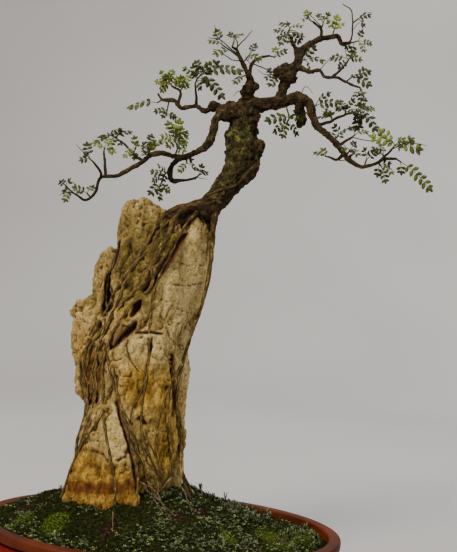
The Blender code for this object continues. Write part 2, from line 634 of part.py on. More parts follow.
def make_moss(parts, cutters):
    inset = POT_INSIDE[2][0] + GAP
    under = [mound_ring(share, inset, MOSS_THICKNESS) for share in (*MOUND_RINGS[::-1], 1.0)]
    over = [mound_ring(share, inset, 0.0, relief=MOSS_RELIEF) for share in MOUND_RINGS]
    edge = mound_ring(0.995, inset, 1.5)
    moss = skin("moss", [mound_top(MOSS_THICKNESS), *under, edge, *over, mound_top(0)], parts)
    surface = BVHTree.FromBMesh(as_bmesh(moss))
    draw = random.Random(7)
    blades = []
    for number, (x, y) in enumerate(WEED_PLACES):
        hit = surface.ray_cast(place((x, y, 300)), Vector((0, 0, -1)))[0]
        for k in range(WEED_LEAVES):
            turn = 2 * math.pi * (k + draw.random() * 0.5) / WEED_LEAVES
            blades.append(weed_leaf(f"weed_{number}_{k}", hit, turn, cutters))
    return combine(moss, blades, "UNION")


def weed_leaf(name, foot, turn, collection):
    """One small ground-cover leaf: a thin kite that rises from the moss."""
    out = Vector((math.cos(turn), math.sin(turn), 0))
    across = Vector((-math.sin(turn), math.cos(turn), 0)) * WEED_LEAF_LENGTH * 0.3 * MM
    up = Vector((0, 0, 1))
    reach = WEED_LEAF_LENGTH * MM
    outline = (
        foot - up * MM,
        foot + out * reach * 0.6 + up * reach * 0.45 + across,
        foot + out * reach + up * reach * 0.5,
        foot + out * reach * 0.6 + up * reach * 0.45 - across,
    )
    return blade(name, [outline], up - out * 0.4, collection)


def blade(name, polygons, facing, collection):
    """A thin closed blade from polygons, thickened against the facing direction."""
    bm = bmesh.new()
    for polygon in polygons:
        bm.faces.new([bm.verts.new(point) for point in polygon])
    bmesh.ops.remove_doubles(bm, verts=bm.verts, dist=1e-6)
    bmesh.ops.triangulate(bm, faces=bm.faces)
    down = facing.normalized() * -LEAF_THICKNESS * MM
    extruded = bmesh.ops.extrude_face_region(bm, geom=list(bm.faces), use_keep_orig=True)
    moved = [item for item in extruded["geom"] if isinstance(item, bmesh.types.BMVert)]
    bmesh.ops.translate(bm, vec=down, verts=moved)
    return mesh_object(name, bm, collection)


def make_rock(parts, cutters):
    blocks = [hull("block_" + name, points, cutters) for name, points in ROCK_BLOCKS.items()]
    rock = hull("rock", ROCK_BLOCKS["column"], parts)
    combine(rock, blocks, "UNION")
    clefts = [tube(f"cleft_{i}", run, 1, cutters) for i, run in enumerate(ROCK_CLEFTS)]
    combine(rock, clefts, "DIFFERENCE")
    remesh = rock.modifiers.new("Remesh", "REMESH")
    remesh.mode = "VOXEL"
    remesh.voxel_size = ROCK_VOXEL * MM
    apply_modifiers(rock)
    weather(rock)
    triangles = sum(len(face.vertices) - 2 for face in rock.data.polygons)
    decimate = rock.modifiers.new("Decimate", "DECIMATE")
    decimate.ratio = ROCK_TRIANGLES / triangles
    apply_modifiers(rock)
    slits = [tube(f"slit_{i}", run, 1, cutters) for i, run in enumerate(ROCK_SLITS)]
    combine(rock, slits, "DIFFERENCE")
    keep_largest_body(rock)
    return rock


def stone_foot(rock, collection):
    """A plain hollow for the stone's foot: the hull of what stands in the soil."""
    swollen = swollen_copy(rock, GROUND_CLEARANCE, collection)
    low = [vert.co / MM for vert in swollen.data.vertices if vert.co.z < STONE_FOOT_TOP * MM]
    bpy.data.objects.remove(swollen, do_unlink=True)
    return hull("stone_foot", low, collection)


def weather(rock):
    """Rain grooves and pits: noise drawn out along the stone's height."""
    bm = as_bmesh(rock)
    bm.normal_update()
    for vert in bm.verts:
        at = vert.co / MM
        grooves = noise.noise(Vector((at.x / 17, at.y / 17, at.z / 60)))
        pits = noise.noise(at / 9.0)
        vert.co += vert.normal * MM * (4.6 * grooves + 2.0 * pits)
    bm.to_mesh(rock.data)
    bm.free()


def smooth_run(values, passes):
    """Evens out a list of numbers, its ends kept."""
    for _ in range(passes):
        middle = [
            (before + 2 * here + after) / 4
            for before, here, after in zip(values, values[1:], values[2:])
        ]
        values = [values[0], *middle, values[-1]]
    return values


def drape(root, surface):
    """Lays a root of (x, z, radius) on the stone: taut over the hollows, clear of the face."""
    side, run = root
    depths = []
    for x, z, radius in run:
        start = place((x, side * 300, z))
        hit = surface.ray_cast(start, Vector((0, -side, 0)))[0]
        if hit is None:
            hit = surface.find_nearest(place((x, side * 20, z)))[0]
        depths.append(hit.y / MM + side * (radius + GAP))
    taut = smooth_run(depths, 3)
    centres = [
        place((x, max(depth * side, drawn * side) * side, z))
        for (x, z, _), depth, drawn in zip(run, depths, taut)
    ]
    radii = [radius for _, _, radius in run]
    for _ in range(DRAPE_PASSES):
        lift_clear(centres, radii, surface)
        for centre, y in zip(centres, smooth_run([centre.y for centre in centres], 1)):
            centre.y = max(centre.y * side, y * side) * side
    for _ in range(DRAPE_PASSES):
        lift_clear(centres, radii, surface)
    return [(*(centre / MM), radius) for centre, radius in zip(centres, radii)]


def lift_clear(centres, radii, surface):
    """Moves the ends of each stretch off the stone until the whole stretch clears it."""
    for i in range(len(centres) - 1):
        for share in (0.0, 0.25, 0.5, 0.75, 1.0):
            middle = centres[i].lerp(centres[i + 1], share)
            clear = (radii[i] * (1 - share) + radii[i + 1] * share + 2 * GAP) * MM
            near, normal, _, _ = surface.find_nearest(middle)
            lack = clear - (middle - near).dot(normal)
            if 0 < lack < 4 * clear:
                centres[i] += normal * lack * (1 - share)
                centres[i + 1] += normal * lack * share


def make_tree(parts, cutters, rock):
    surface = BVHTree.FromBMesh(as_bmesh(rock))
    trunk = tube("tree", LIMBS["trunk"], 2, parts)
    pieces = [
        tube("limb_" + name, run, int(run[0][3] > STOUT_LIMB), cutters)
        for name, run in LIMBS.items() if name != "trunk"
    ]
    for name, root in ROOTS.items():
        run = [*ROOT_CRESTS.get(name, ()), *drape(root, surface)]
        pieces.append(tube("root_" + name, run, int(run[0][3] > STOUT_LIMB), cutters))
    pieces += [ball(f"knob_{i}", knob[:3], knob[3], cutters) for i, knob in enumerate(KNOBS)]
    combine(trunk, pieces, "UNION")
    combine(trunk, [swollen_copy(rock, GAP, cutters)], "DIFFERENCE")
    keep_largest_body(trunk)
    return trunk


def leaf_polygons(base, tip, facing):
    """The leaflets and rib of one arched pinnate leaf, as flat polygons."""
    along = tip - base
    length = along.length / MM
    ahead = along.normalized()
    across = facing.cross(ahead).normalized()
    up = ahead.cross(across).normalized()
    end = length - LEAFLET_LENGTH
    pairs = max(1, min(LEAFLET_PAIRS, int((end - PETIOLE) / LEAFLET_PITCH)))
    first = max(PETIOLE, end - pairs * LEAFLET_PITCH)
    pitch = (end - first) / pairs

    def at(run, off):
        share = run / length
        rise = 4 * LEAF_ARCH * length * share * (1 - share)
        return base + (ahead * run + across * off + up * rise) * MM

    def rib(low, high):
        return at(low, -LEAF_RIB), at(low, LEAF_RIB), at(high, LEAF_RIB), at(high, -LEAF_RIB)

    polygons = [rib(0, first)]
    for i in range(pairs):
        low = first + pitch * i
        size = LEAFLET_LENGTH * (0.85 + 0.25 * math.sin(math.pi * (i + 1) / (pairs + 1)))
        polygons.append(rib(low, low + pitch))
        for way in (-1, 1):
            polygons.append((
                at(low, way * LEAF_RIB),
                at(low + pitch * 0.18, way * (LEAF_RIB + size * 0.62)),
                at(low + pitch * 0.8, way * (LEAF_RIB + size)),
                at(low + pitch, way * LEAF_RIB),
            ))
    widest = end + LEAFLET_LENGTH * 0.5
    half_width = LEAFLET_LENGTH * 0.3
    polygons.append((
        at(end, -LEAF_RIB), at(widest, -half_width), at(length, 0), at(widest, half_width),
        at(end, LEAF_RIB),
    ))
    return polygons, up


def leaf_facing(draw):
    """The way a leaf's upper side looks: up and to the front, a little to either side."""
    turned = Vector(LEAF_FACING)
    turned += Vector((draw.uniform(-0.45, 0.45), draw.uniform(-0.3, 0.3), draw.uniform(-0.25, 0.25)))
    return turned.normalized()


def make_spray(name, spray, tree_surface, parts, cutters):
    points, leaves = spray
    run = [place(point) for point in points]
    back = (run[0] - run[1]).normalized()
    reach = (run[0] - run[1]).length + SHOOT_REACH * MM
    hit, normal, _, _ = tree_surface.ray_cast(run[1], back, reach)
    if hit is None:
        hit, normal = run[0], -back
    slope = min(STEEPEST_SHOOT, math.tan(back.angle(-normal)))
    start = hit - back * (GAP + SHOOT_RADIUS * slope) * MM
    route = [(*(start / MM), SHOOT_RADIUS)] + [(*point, SHOOT_RADIUS) for point in points[1:]]
    shoot = tube("spray_" + name, route, 0, parts)
    blades = []
    for i, (index, tip) in enumerate(leaves):
        draw = random.Random(f"{name} {i}")
        below = (run[index - 1] - run[index]).normalized()
        joint = run[index] + below * LEAF_SPACING * (i % 3) * MM
        base = joint - (place(tip) - joint).normalized() * SHOOT_RADIUS * 0.4 * MM
        polygons, facing = leaf_polygons(base, place(tip), leaf_facing(draw))
        blades.append(blade(f"leaf_{name}_{i}", polygons, facing, cutters))
    combine(shoot, blades, "UNION")
    keep_largest_body(shoot)
    return shoot


def finish(obj, root, surface_material, angle=math.radians(35)):
    obj.data.materials.clear()
    obj.data.materials.append(surface_material)
    obj.data.shade_smooth()
    obj.data.set_sharp_from_angle(angle=angle)
    obj.parent = root


def main():
    clear_scene()
    parts = new_collection("root_over_rock_bonsai")
    cutters = new_collection("cutters")
    root = bpy.data.objects.new("bonsai_root", None)
    parts.objects.link(root)

    pot = make_pot(parts, cutters)
    finish(pot, root, material("fired_clay", (0.42, 0.13, 0.06), 0.35))
    screens = make_screens(parts, cutters)
    for screen in screens:
        finish(screen, root, material("screen_plastic", (0.05, 0.05, 0.05), 0.6))

    rock = make_rock(parts, cutters)
    finish(rock, root, material("weathered_stone", (0.50, 0.38, 0.22), 0.9))
    tree = make_tree(parts, cutters, rock)
    finish(tree, root, material("bark", (0.16, 0.10, 0.07), 0.85))

    soil = make_soil(parts)
    moss = make_moss(parts, cutters)
    pocket = (SCREEN_SIDE + 1, SCREEN_SIDE + 1, 2 * (SCREEN_THICKNESS + 2 * GAP))
    pockets = [box(f"pocket_{x}", (x, 0, FLOOR_TOP), pocket, cutters) for x in DRAIN_PLACES]
    foot = stone_foot(rock, cutters)
    stone_hole = swollen_copy(rock, GROUND_CLEARANCE, cutters)
    for ground, holes in ((soil, [foot, *pockets]), (moss, [stone_hole])):
        combine(ground, [*holes, swollen_copy(tree, GROUND_CLEARANCE, cutters)], "DIFFERENCE")
        keep_largest_body(ground)
    finish(soil, root, material("potting_soil", (0.07, 0.045, 0.03), 0.95))
    finish(moss, root, material("moss", (0.06, 0.10, 0.03), 0.95))

    bark_surface = BVHTree.FromBMesh(as_bmesh(tree))
    leaf_green = material("leaf", (0.12, 0.22, 0.05), 0.55)
    for name, spray in SPRAYS.items():
        finish(make_spray(name, spray, bark_surface, parts, cutters), root, leaf_green)

    bpy.context.scene.collection.children.unlink(cutters)
    bpy.data.collections.remove(cutters)
    root.location = place(ORIGIN_SHIFT)


main()
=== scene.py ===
"""Root over rock bonsai: fine form and finish of the tray, stone, bark, roots, leaves, moss and weeds.

The tables are in millimetres: X to the right, Y away from the front, Z up from the bench, with the
tray's centre at X 0, Y 0. A finished piece's mesh is in metres, in the frame's own coordinates.
"""

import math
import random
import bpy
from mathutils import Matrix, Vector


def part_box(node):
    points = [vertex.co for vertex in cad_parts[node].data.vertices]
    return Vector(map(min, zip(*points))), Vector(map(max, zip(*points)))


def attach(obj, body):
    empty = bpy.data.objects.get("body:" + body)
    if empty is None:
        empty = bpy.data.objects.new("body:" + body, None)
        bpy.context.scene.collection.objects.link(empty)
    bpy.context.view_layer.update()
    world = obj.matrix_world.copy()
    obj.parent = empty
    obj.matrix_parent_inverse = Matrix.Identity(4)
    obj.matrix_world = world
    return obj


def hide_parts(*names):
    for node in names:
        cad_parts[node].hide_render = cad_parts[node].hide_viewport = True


bl_info = {
    "name": "Root over rock bonsai",
    "version": (1, 0, 0),
    "blender": (4, 5, 0),
    "location": "View3D > Sidebar > Bonsai",
    "description": "Builds the fine form and finish of a root over rock bonsai round its frame",
    "category": "Add Mesh",
}

import bpy
import numpy as np
from mathutils import Matrix, Vector, noise
from mathutils.bvhtree import BVHTree
from mathutils.kdtree import KDTree

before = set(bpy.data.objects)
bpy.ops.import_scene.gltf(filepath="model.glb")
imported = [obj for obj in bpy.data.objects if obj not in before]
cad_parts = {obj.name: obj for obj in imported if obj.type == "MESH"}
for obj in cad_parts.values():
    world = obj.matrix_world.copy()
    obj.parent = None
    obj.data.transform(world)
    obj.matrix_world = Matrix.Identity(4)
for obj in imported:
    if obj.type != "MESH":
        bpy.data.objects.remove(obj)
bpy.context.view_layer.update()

MM = 0.001
BODY = "root"
TRAY_LOW, TRAY_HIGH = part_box("pot")
TRAY_X = (TRAY_LOW.x + TRAY_HIGH.x) / 2 / MM
TRAY_HALF_LENGTH = (TRAY_HIGH.x - TRAY_LOW.x) / 2 / MM
TRAY_HALF_WIDTH = (TRAY_HIGH.y - TRAY_LOW.y) / 2 / MM
SPRAY_NODES = sorted(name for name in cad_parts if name.startswith("spray_"))
# Without a set seed, noise_vector gives another field on each run.
NOISE_SEED = 3

# Tray wall as (inset from the oval, height): foot, belly, bead, groove, lip and inside.
TRAY_SECTION = (
    (75, 10), (44, 10), (38, 10.8), (31, 13.4), (24, 18), (17.6, 26), (13, 35), (10.4, 43),
    (8.9, 49.4), (7.6, 50.2), (5.3, 51.5), (3.5, 53.3), (2.7, 55.6), (3.3, 57.9), (4.9, 59.8),
    (7.4, 61.0), (9.2, 61.8), (9.5, 62.8), (8.6, 63.7), (2.4, 65.5), (0.9, 66.3), (0.2, 67.8),
    (0, 70), (0, 75), (0.4, 76.8), (1.3, 77.8), (2.6, 78), (8, 78), (13.4, 78), (14.8, 77.7),
    (15.7, 76.8), (16, 75.4), (16, 61), (18.5, 48), (24, 36), (36, 25), (58, 19.2), (80, 19),
)
FOOT_PLACES = ((-128, -70), (128, -70), (-128, 70), (128, 70))
FOOT_BASE_RADIUS = 20.0
FOOT_TOP_RADIUS = 25.0
FOOT_HEIGHT = 13.0
FOOT_BEVEL = 1.6
TRAY_SIDES = 160
ROUND_SIDES = 64
DRAIN_PLACES = (-90, 90)
DRAIN_RADIUS = 12.0
DRAIN_CUT_LENGTH = 50.0
DRAIN_CUT_MIDDLE = 15.0
SCREEN_CELLS = 13

# Mound of soil and moss, highest round the stone's foot.
MOUND_CENTRE = (-35.0, 12.0)
MOUND_REACH = (205.0, 150.0)
MOUND_EDGE = 69.0
MOUND_RISE = 61.0
MOUND_INSET = 16.4
MOUND_FALL = 1.4
MOSS_THICKNESS = 4.5
MOSS_RELIEF = 8.0
MOSS_SIDES = 360
MOSS_RINGS = 78
MOSS_UNDER_RINGS = 10
TUFT_HEIGHTS = (1.8, 4.2)
TUFT_RADIUS = 0.95
ROSETTE_REACH = (1.8, 3.6)
SPRIG_REACH = (3.5, 7.0)
# Bare soil shows in these patches: (x, y, reach).
BARE_PATCHES = (
    (20, -58, 14), (52, -38, 10), (-150, 40, 36), (-60, -92, 14), (120, -95, 10), (-185, -20, 20),
    (60, 60, 22),
)
# Brighter moss grows in these: (x, y, reach).
BRIGHT_PATCHES = (
    (88, -66, 12), (150, -20, 24), (-130, -75, 16), (60, -128, 18), (190, 20, 28), (-175, -52, 14),
)

# Cracks and hollows of the stone's front: runs of (x, z, half width), with the depth.
STONE_CRACKS = {
    "long_cleft": (9.0, ((2, 466, 3), (-6, 450, 5), (-16, 430, 6), (-28, 408, 5), (-43, 388, 4))),
    "eye": (10.0, ((-51, 373, 3.6), (-54, 364, 4.4), (-59, 354, 3.2))),
    "socket": (13.0, ((-97, 388, 5), (-93, 377, 7), (-96, 363, 7), (-100, 352, 4))),
    "deep_hollow": (9.0, ((-54, 343, 3.6), (-63, 331, 4.4), (-75, 318, 4), (-86, 308, 2.6))),
    "brow_crack": (6.0, ((-52, 332, 2), (-34, 335, 2.4), (-16, 333, 1.6))),
    "left_cleft": (9.0, ((-86, 448, 3), (-89, 428, 4), (-97, 404, 4), (-99, 390, 4))),
    "right_crevice": (7.0, ((-3, 304, 2.4), (0, 282, 3), (3, 252, 2.4), (3, 224, 1.6))),
    "slab_joint": (7.0, (
        (-69, 240, 2.4), (-57, 212, 2.6), (-46, 186, 2.6), (-38, 158, 2.4), (-31, 128, 2.2),
    )),
    "pocks": (5.0, ((-38, 220, 3), (-30, 214, 2.6))),
    "face_crack_high": (1.4, ((-8, 428, 1.0), (10, 425, 1.0), (30, 427, 0.8))),
    "face_crack_low": (1.6, ((-12, 399, 1.2), (8, 397, 1.0), (27, 402, 1.2))),
    "slab_ledge": (2.6, ((-110, 172, 2), (-96, 176, 2), (-82, 174, 2), (-73, 167, 1.6))),
    "facet_notch": (3.0, ((-60, 168, 1.8), (-51, 173, 1.8), (-46, 184, 1.6))),
    "column_seam": (3.0, ((-30, 328, 1.4), (-33, 300, 1.6), (-36, 262, 1.4), (-46, 236, 1.4))),
}
# Stains of the stone's front: (x, z, reach across, reach up, strength).
STAINS = {
    # The pale spots at (-124, 340), (-101, 418), (-60, 496) and (26, 320) are painted highlight on the left
    # edges, crown and right rib; the other pale spots are the stone's own paler faces.
    "pale": (
        (10, 405, 34, 70, 0.9), (-44, 305, 22, 24, 0.9), (-24, 318, 18, 18, 0.7), (-66, 202, 14, 30, 1.0),
        (-101, 418, 10, 30, 0.4), (-124, 340, 12, 22, 0.4), (-60, 496, 22, 12, 0.35), (15, 270, 9, 52, 1.2),
        (-2, 200, 14, 40, 0.4), (26, 320, 12, 40, 0.8),
    ),
    "amber": (
        (-82, 130, 60, 34, 1.1), (-104, 156, 26, 24, 0.8), (-40, 262, 24, 36, 0.9), (-8, 240, 26, 60, 0.7),
        (-120, 296, 14, 36, 0.5), (-68, 494, 14, 10, 0.25), (-2, 180, 26, 44, 0.65), (-66, 352, 16, 16, 0.4),
    ),
    "olive": (
        (-30, 450, 32, 46, 1.0), (-66, 420, 26, 50, 0.8), (-36, 190, 14, 40, 0.5), (-46, 392, 24, 30, 0.9),
        (-120, 425, 12, 20, 0.5), (0, 130, 30, 30, 0.5), (-104, 250, 16, 60, 0.4), (-78, 462, 14, 26, 0.5),
        (-50, 474, 14, 16, 0.4), (-118, 380, 12, 30, 0.5),
    ),
    "rust": (
        (-134, 120, 16, 11, 0.85), (-116, 125, 17, 10, 1.05), (-97, 129, 18, 11, 1.05),
        (-77, 131, 17, 10, 1.05),
        (-58, 134, 18, 11, 1.05), (-40, 137, 14, 10, 1.0), (-28, 140, 10, 9, 0.8), (-108, 262, 20, 62, 0.9),
        (-112, 200, 10, 30, 0.7), (-70, 330, 14, 14, 0.6), (-96, 106, 40, 9, 0.65), (-50, 112, 26, 9, 0.65),
        (-92, 158, 14, 5, 0.6), (-124, 150, 9, 20, 0.65),
    ),
}
# Calmer places of the stone, in the same way.
SMOOTH_PLACES = (
    (-20, 240, 44, 80, 0.75), (-78, 130, 60, 44, 0.6), (-10, 150, 40, 50, 0.5),
    (12, 405, 32, 70, 1.0), (-48, 305, 26, 24, 0.6), (-66, 202, 15, 30, 0.9), (-98, 160, 26, 26, 0.5),
)

# How far crags, facets, joints and pits stand out of or into the stone.
CRAG_HEIGHT, FACET_HEIGHT, JOINT_DEPTH, PIT_DEPTH = 4.6, 7.0, 2.2, 1.7
# Their sizes across and up.
CRAG_SIZE = (30.0, 58.0)
FACET_SIZE = (19.0, 30.0)
PIT_SIZE = (5.5, 7.0)
# Where the stone stands out further than its solid: (x, y, z, reach, height).
STONE_SWELLS = (
    (-113, -34, 200, 24, 10), (-122, -44, 166, 22, 7), (-128, -50, 142, 20, 4), (14, -6, 240, 26, 2),
    (36, 4, 476, 18, 7), (-104, -30, 214, 17, 6), (-98, -26, 232, 15, 5),
    (-114, -44, 184, 15, 5),
)

# Smaller burls, mostly sunk in the wood: (x, y, z, radius).
BURLS = (
    (84, 0, 570, 9), (44, 5, 629, 8), (58, 1, 634, 8), (71, 2, 638, 8), (81, 5, 632, 8),
    (69, 6, 666, 9.6), (36, 12, 636, 7), (112, 22, 698, 9), (121, 24, 703, 9), (127, 28, 692, 8),
    (140, 3, 644, 7), (145, 4, 632, 6.5), (142, 4, 626, 5), (48, 8, 606, 6), (84, 8, 612, 5),
    (150, -2, 656, 6),
)
# A pale sinew of root grown down over the trunk's front: (x, z, radius).
SINEW = (
    (92, 570, 1.6), (86, 563, 2.1), (79, 556, 1.8), (74, 549, 2.2), (67, 540, 1.9), (60, 534, 2.0),
    (51, 531, 1.8), (42, 528, 2.1), (34, 523, 2.5), (26, 519, 2.6),
)
# Fine roots on the stone's front: runs of (x, z), with the radius at the middle.
FINE_ROOTS = {
    "inner_pair": (2.3, (
        (-6, 497), (-19, 484), (-33, 466), (-41, 448), (-55, 428), (-65, 415), (-70, 402), (-75, 384),
        (-81, 366), (-87, 350), (-92, 333), (-101, 312), (-105, 292), (-109, 270), (-109, 253), (-106, 236),
    )),
    "cross_vein": (1.2, ((-44, 447), (-52, 440), (-60, 431), (-63, 422), (-70, 413))),
    "cleft_left": (1.6, (
        (-89, 444), (-93, 428), (-98, 410), (-100, 393), (-100, 373), (-96, 354), (-97, 334), (-108, 316),
        (-116, 302), (-121, 285), (-117, 263), (-111, 246),
    )),
    "mat_a": (1.8, (
        (-94, 319), (-101, 306), (-103, 290), (-103, 271), (-100, 254), (-102, 232), (-105, 210),
        (-109, 192), (-113, 176),
    )),
    "mat_b": (1.6, (
        (-116, 311), (-124, 297), (-126, 282), (-123, 263), (-115, 246), (-110, 231), (-107, 216),
        (-108, 196), (-116, 172),
    )),
    "mat_c": (1.5, (
        (-103, 286), (-107, 268), (-106, 249), (-100, 232), (-101, 214), (-107, 196), (-113, 183),
        (-118, 166),
    )),
    "mat_d": (1.4, ((-84, 332), (-93, 306), (-98, 282), (-112, 258), (-112, 236), (-104, 214), (-112, 190))),
    "mat_e": (1.3, ((-110, 340), (-117, 318), (-114, 292), (-118, 268), (-104, 246), (-106, 222))),
    "outer_left": (2.6, (
        (-126, 265), (-120, 250), (-114, 237), (-111, 222), (-112, 205), (-116, 191), (-119, 179),
        (-117, 163),
    )),
    "slab_edge": (1.8, (
        (-77, 264), (-83, 248), (-86, 229), (-92, 213), (-100, 200), (-106, 188), (-112, 174),
    )),
    "mid_vein": (1.2, ((-62, 322), (-62, 309), (-56, 296), (-47, 286), (-40, 278))),
    "centre_vein": (1.3, ((-35, 285), (-36, 269), (-40, 252), (-47, 236), (-50, 225), (-46, 200))),
    "crevice_right": (2.2, (
        (-2, 303), (-2, 283), (-1, 261), (-3, 239), (-3, 218), (1, 196), (5, 179), (6, 156), (4, 132),
    )),
    "foot_right": (2.0, (
        (7, 244), (11, 225), (15, 206), (18, 184), (19, 160), (25, 146), (31, 134), (38, 118),
    )),
    "wedge_right": (2.2, (
        (-77, 284), (-73, 264), (-66, 243), (-59, 224), (-53, 205), (-47, 188), (-40, 171), (-34, 152),
        (-32, 132), (-30, 112),
    )),
    "slab_vein": (1.4, ((-47, 201), (-32, 185), (-25, 168), (-15, 154), (-3, 141), (4, 128))),
    "vein_low": (1.1, ((-30, 207), (-24, 190), (-14, 173), (-8, 158))),
}
# Dry rootlets that hang over the moss: (x, y, height over it).
ROOTLETS = (
    ((-24, -48, 17), (-16, -54, 13), (-8, -60, 6), (4, -64, 3), (12, -72, 0)),
    ((-20, -46, 22), (-14, -50, 14), (-2, -56, 9), (6, -58, 3), (14, -64, 0)),
    ((20, -22, 22), (26, -28, 14), (33, -36, 6), (40, -44, 0)),
    ((-58, -82, 12), (-56, -88, 5), (-55, -94, 0)),
    ((-30, -50, 27), (-20, -52, 20), (-6, -54, 15), (4, -56, 7), (18, -58, 3)),
    ((-8, -44, 24), (-2, -52, 14), (6, -58, 7), (20, -60, 2)),
    ((10, -34, 30), (0, -42, 18), (-8, -52, 8), (-14, -62, 0)),
)
# How many more leaves stand beside each leaf on these shoots. The user's share rules the others.
FULLER_SHOOTS = {
    "high_out": 3, "high_mid": 3, "high_fan": 2, "left_crown": 2, "left_fan": 1, "left_rise": 2,
    "cluster_mid": 2, "cluster_end": 2, "cluster_low": 2, "upper_fan": 1, "drop_leaf": 1, "limb_mid": 1,
    "centre_bare": 0, "centre_left": 0, "upper_tip": 0, "left_tip": 0, "left_back": 0, "left_twig": 0,
    "high_hang": 1, "far_twig": 1,
}
# How much thinner the finished roots are than the frame's stouter ones.
ROOT_SLIMMING = 0.56
# Where a limb's radius is less than this it is a plain tube. What is thicker runs into the trunk.
LEAST_REMESHED = 2.8
# Wood that fills the hollow under the roots' arch: (x, y, z, radius).
ROOT_FILL = (
    (
        (36, 8, 510, 12), (22, 10, 504, 11), (8, 12, 498, 10), (-6, 12, 491, 9), (-20, 10, 484, 8),
        (-30, 4, 474, 6),
    ),
    ((34, 6, 506, 11), (22, 6, 500, 10), (8, 4, 490, 9), (-4, 2, 482, 9), (-16, 0, 474, 8)),
    ((4, 16, 501, 8), (-6, 16, 498, 8), (-15, 15, 494, 7.5), (-24, 14, 486, 6)),
    ((38, 8, 502, 9), (34, 9, 490, 8), (33, 9, 478, 6)),
)

# Lights: name, place in metres, size in metres, power in watts, colour, the point it faces.
LIGHTS = (
    ("key", (-1.7, -2.0, 2.4), (1.0, 1.0), 142.0, "#FFF6EA", (0.0, 0.0, 0.4)),
    ("fill", (2.4, -1.8, 1.2), (2.0, 2.0), 26.0, "#FFFFFF", (0.0, 0.0, 0.4)),
    ("top", (0.2, 0.3, 3.0), (2.0, 2.0), 42.0, "#FFFFFF", (0.0, 0.0, 0.4)),
    ("backdrop", (1.3, 0.9, 2.7), (1.6, 1.0), 80.0, "#FFFDF8", (0.9, 3.5, 0.8)),
)
WORLD_STRENGTH = 0.56
# The paper sweep: length, depth and height, and the width of its curved fold, in metres.
SWEEP_LENGTH, SWEEP_DEPTH, SWEEP_HEIGHT, SWEEP_FOLD = 14.0, 7.0, 5.0, 1.8
CAMERA_PLACE = (0.0265, -1.2067, 0.4152)
CAMERA_TURN = (math.radians(90), math.radians(-4.5), 0.0)
CAMERA_LENS = 58.7
LEAF_ARCH = 0.10
# Leaflets: their length as a share of the leaf's, its least and most, then spacing and width as
# shares of that length, and how wide they are at each share of the way along.
LEAFLET_SHARE, LEAFLET_LEAST, LEAFLET_MOST = 0.29, 6.6, 10.5
LEAFLET_PITCH, LEAFLET_WIDTH = 0.74, 0.58
LEAFLET_ROWS = ((0.0, 0.12), (0.22, 0.8), (0.5, 1.0), (0.8, 0.66), (1.0, 0.0))
LUMP_RINGS, LUMP_SIDES = 14, 22

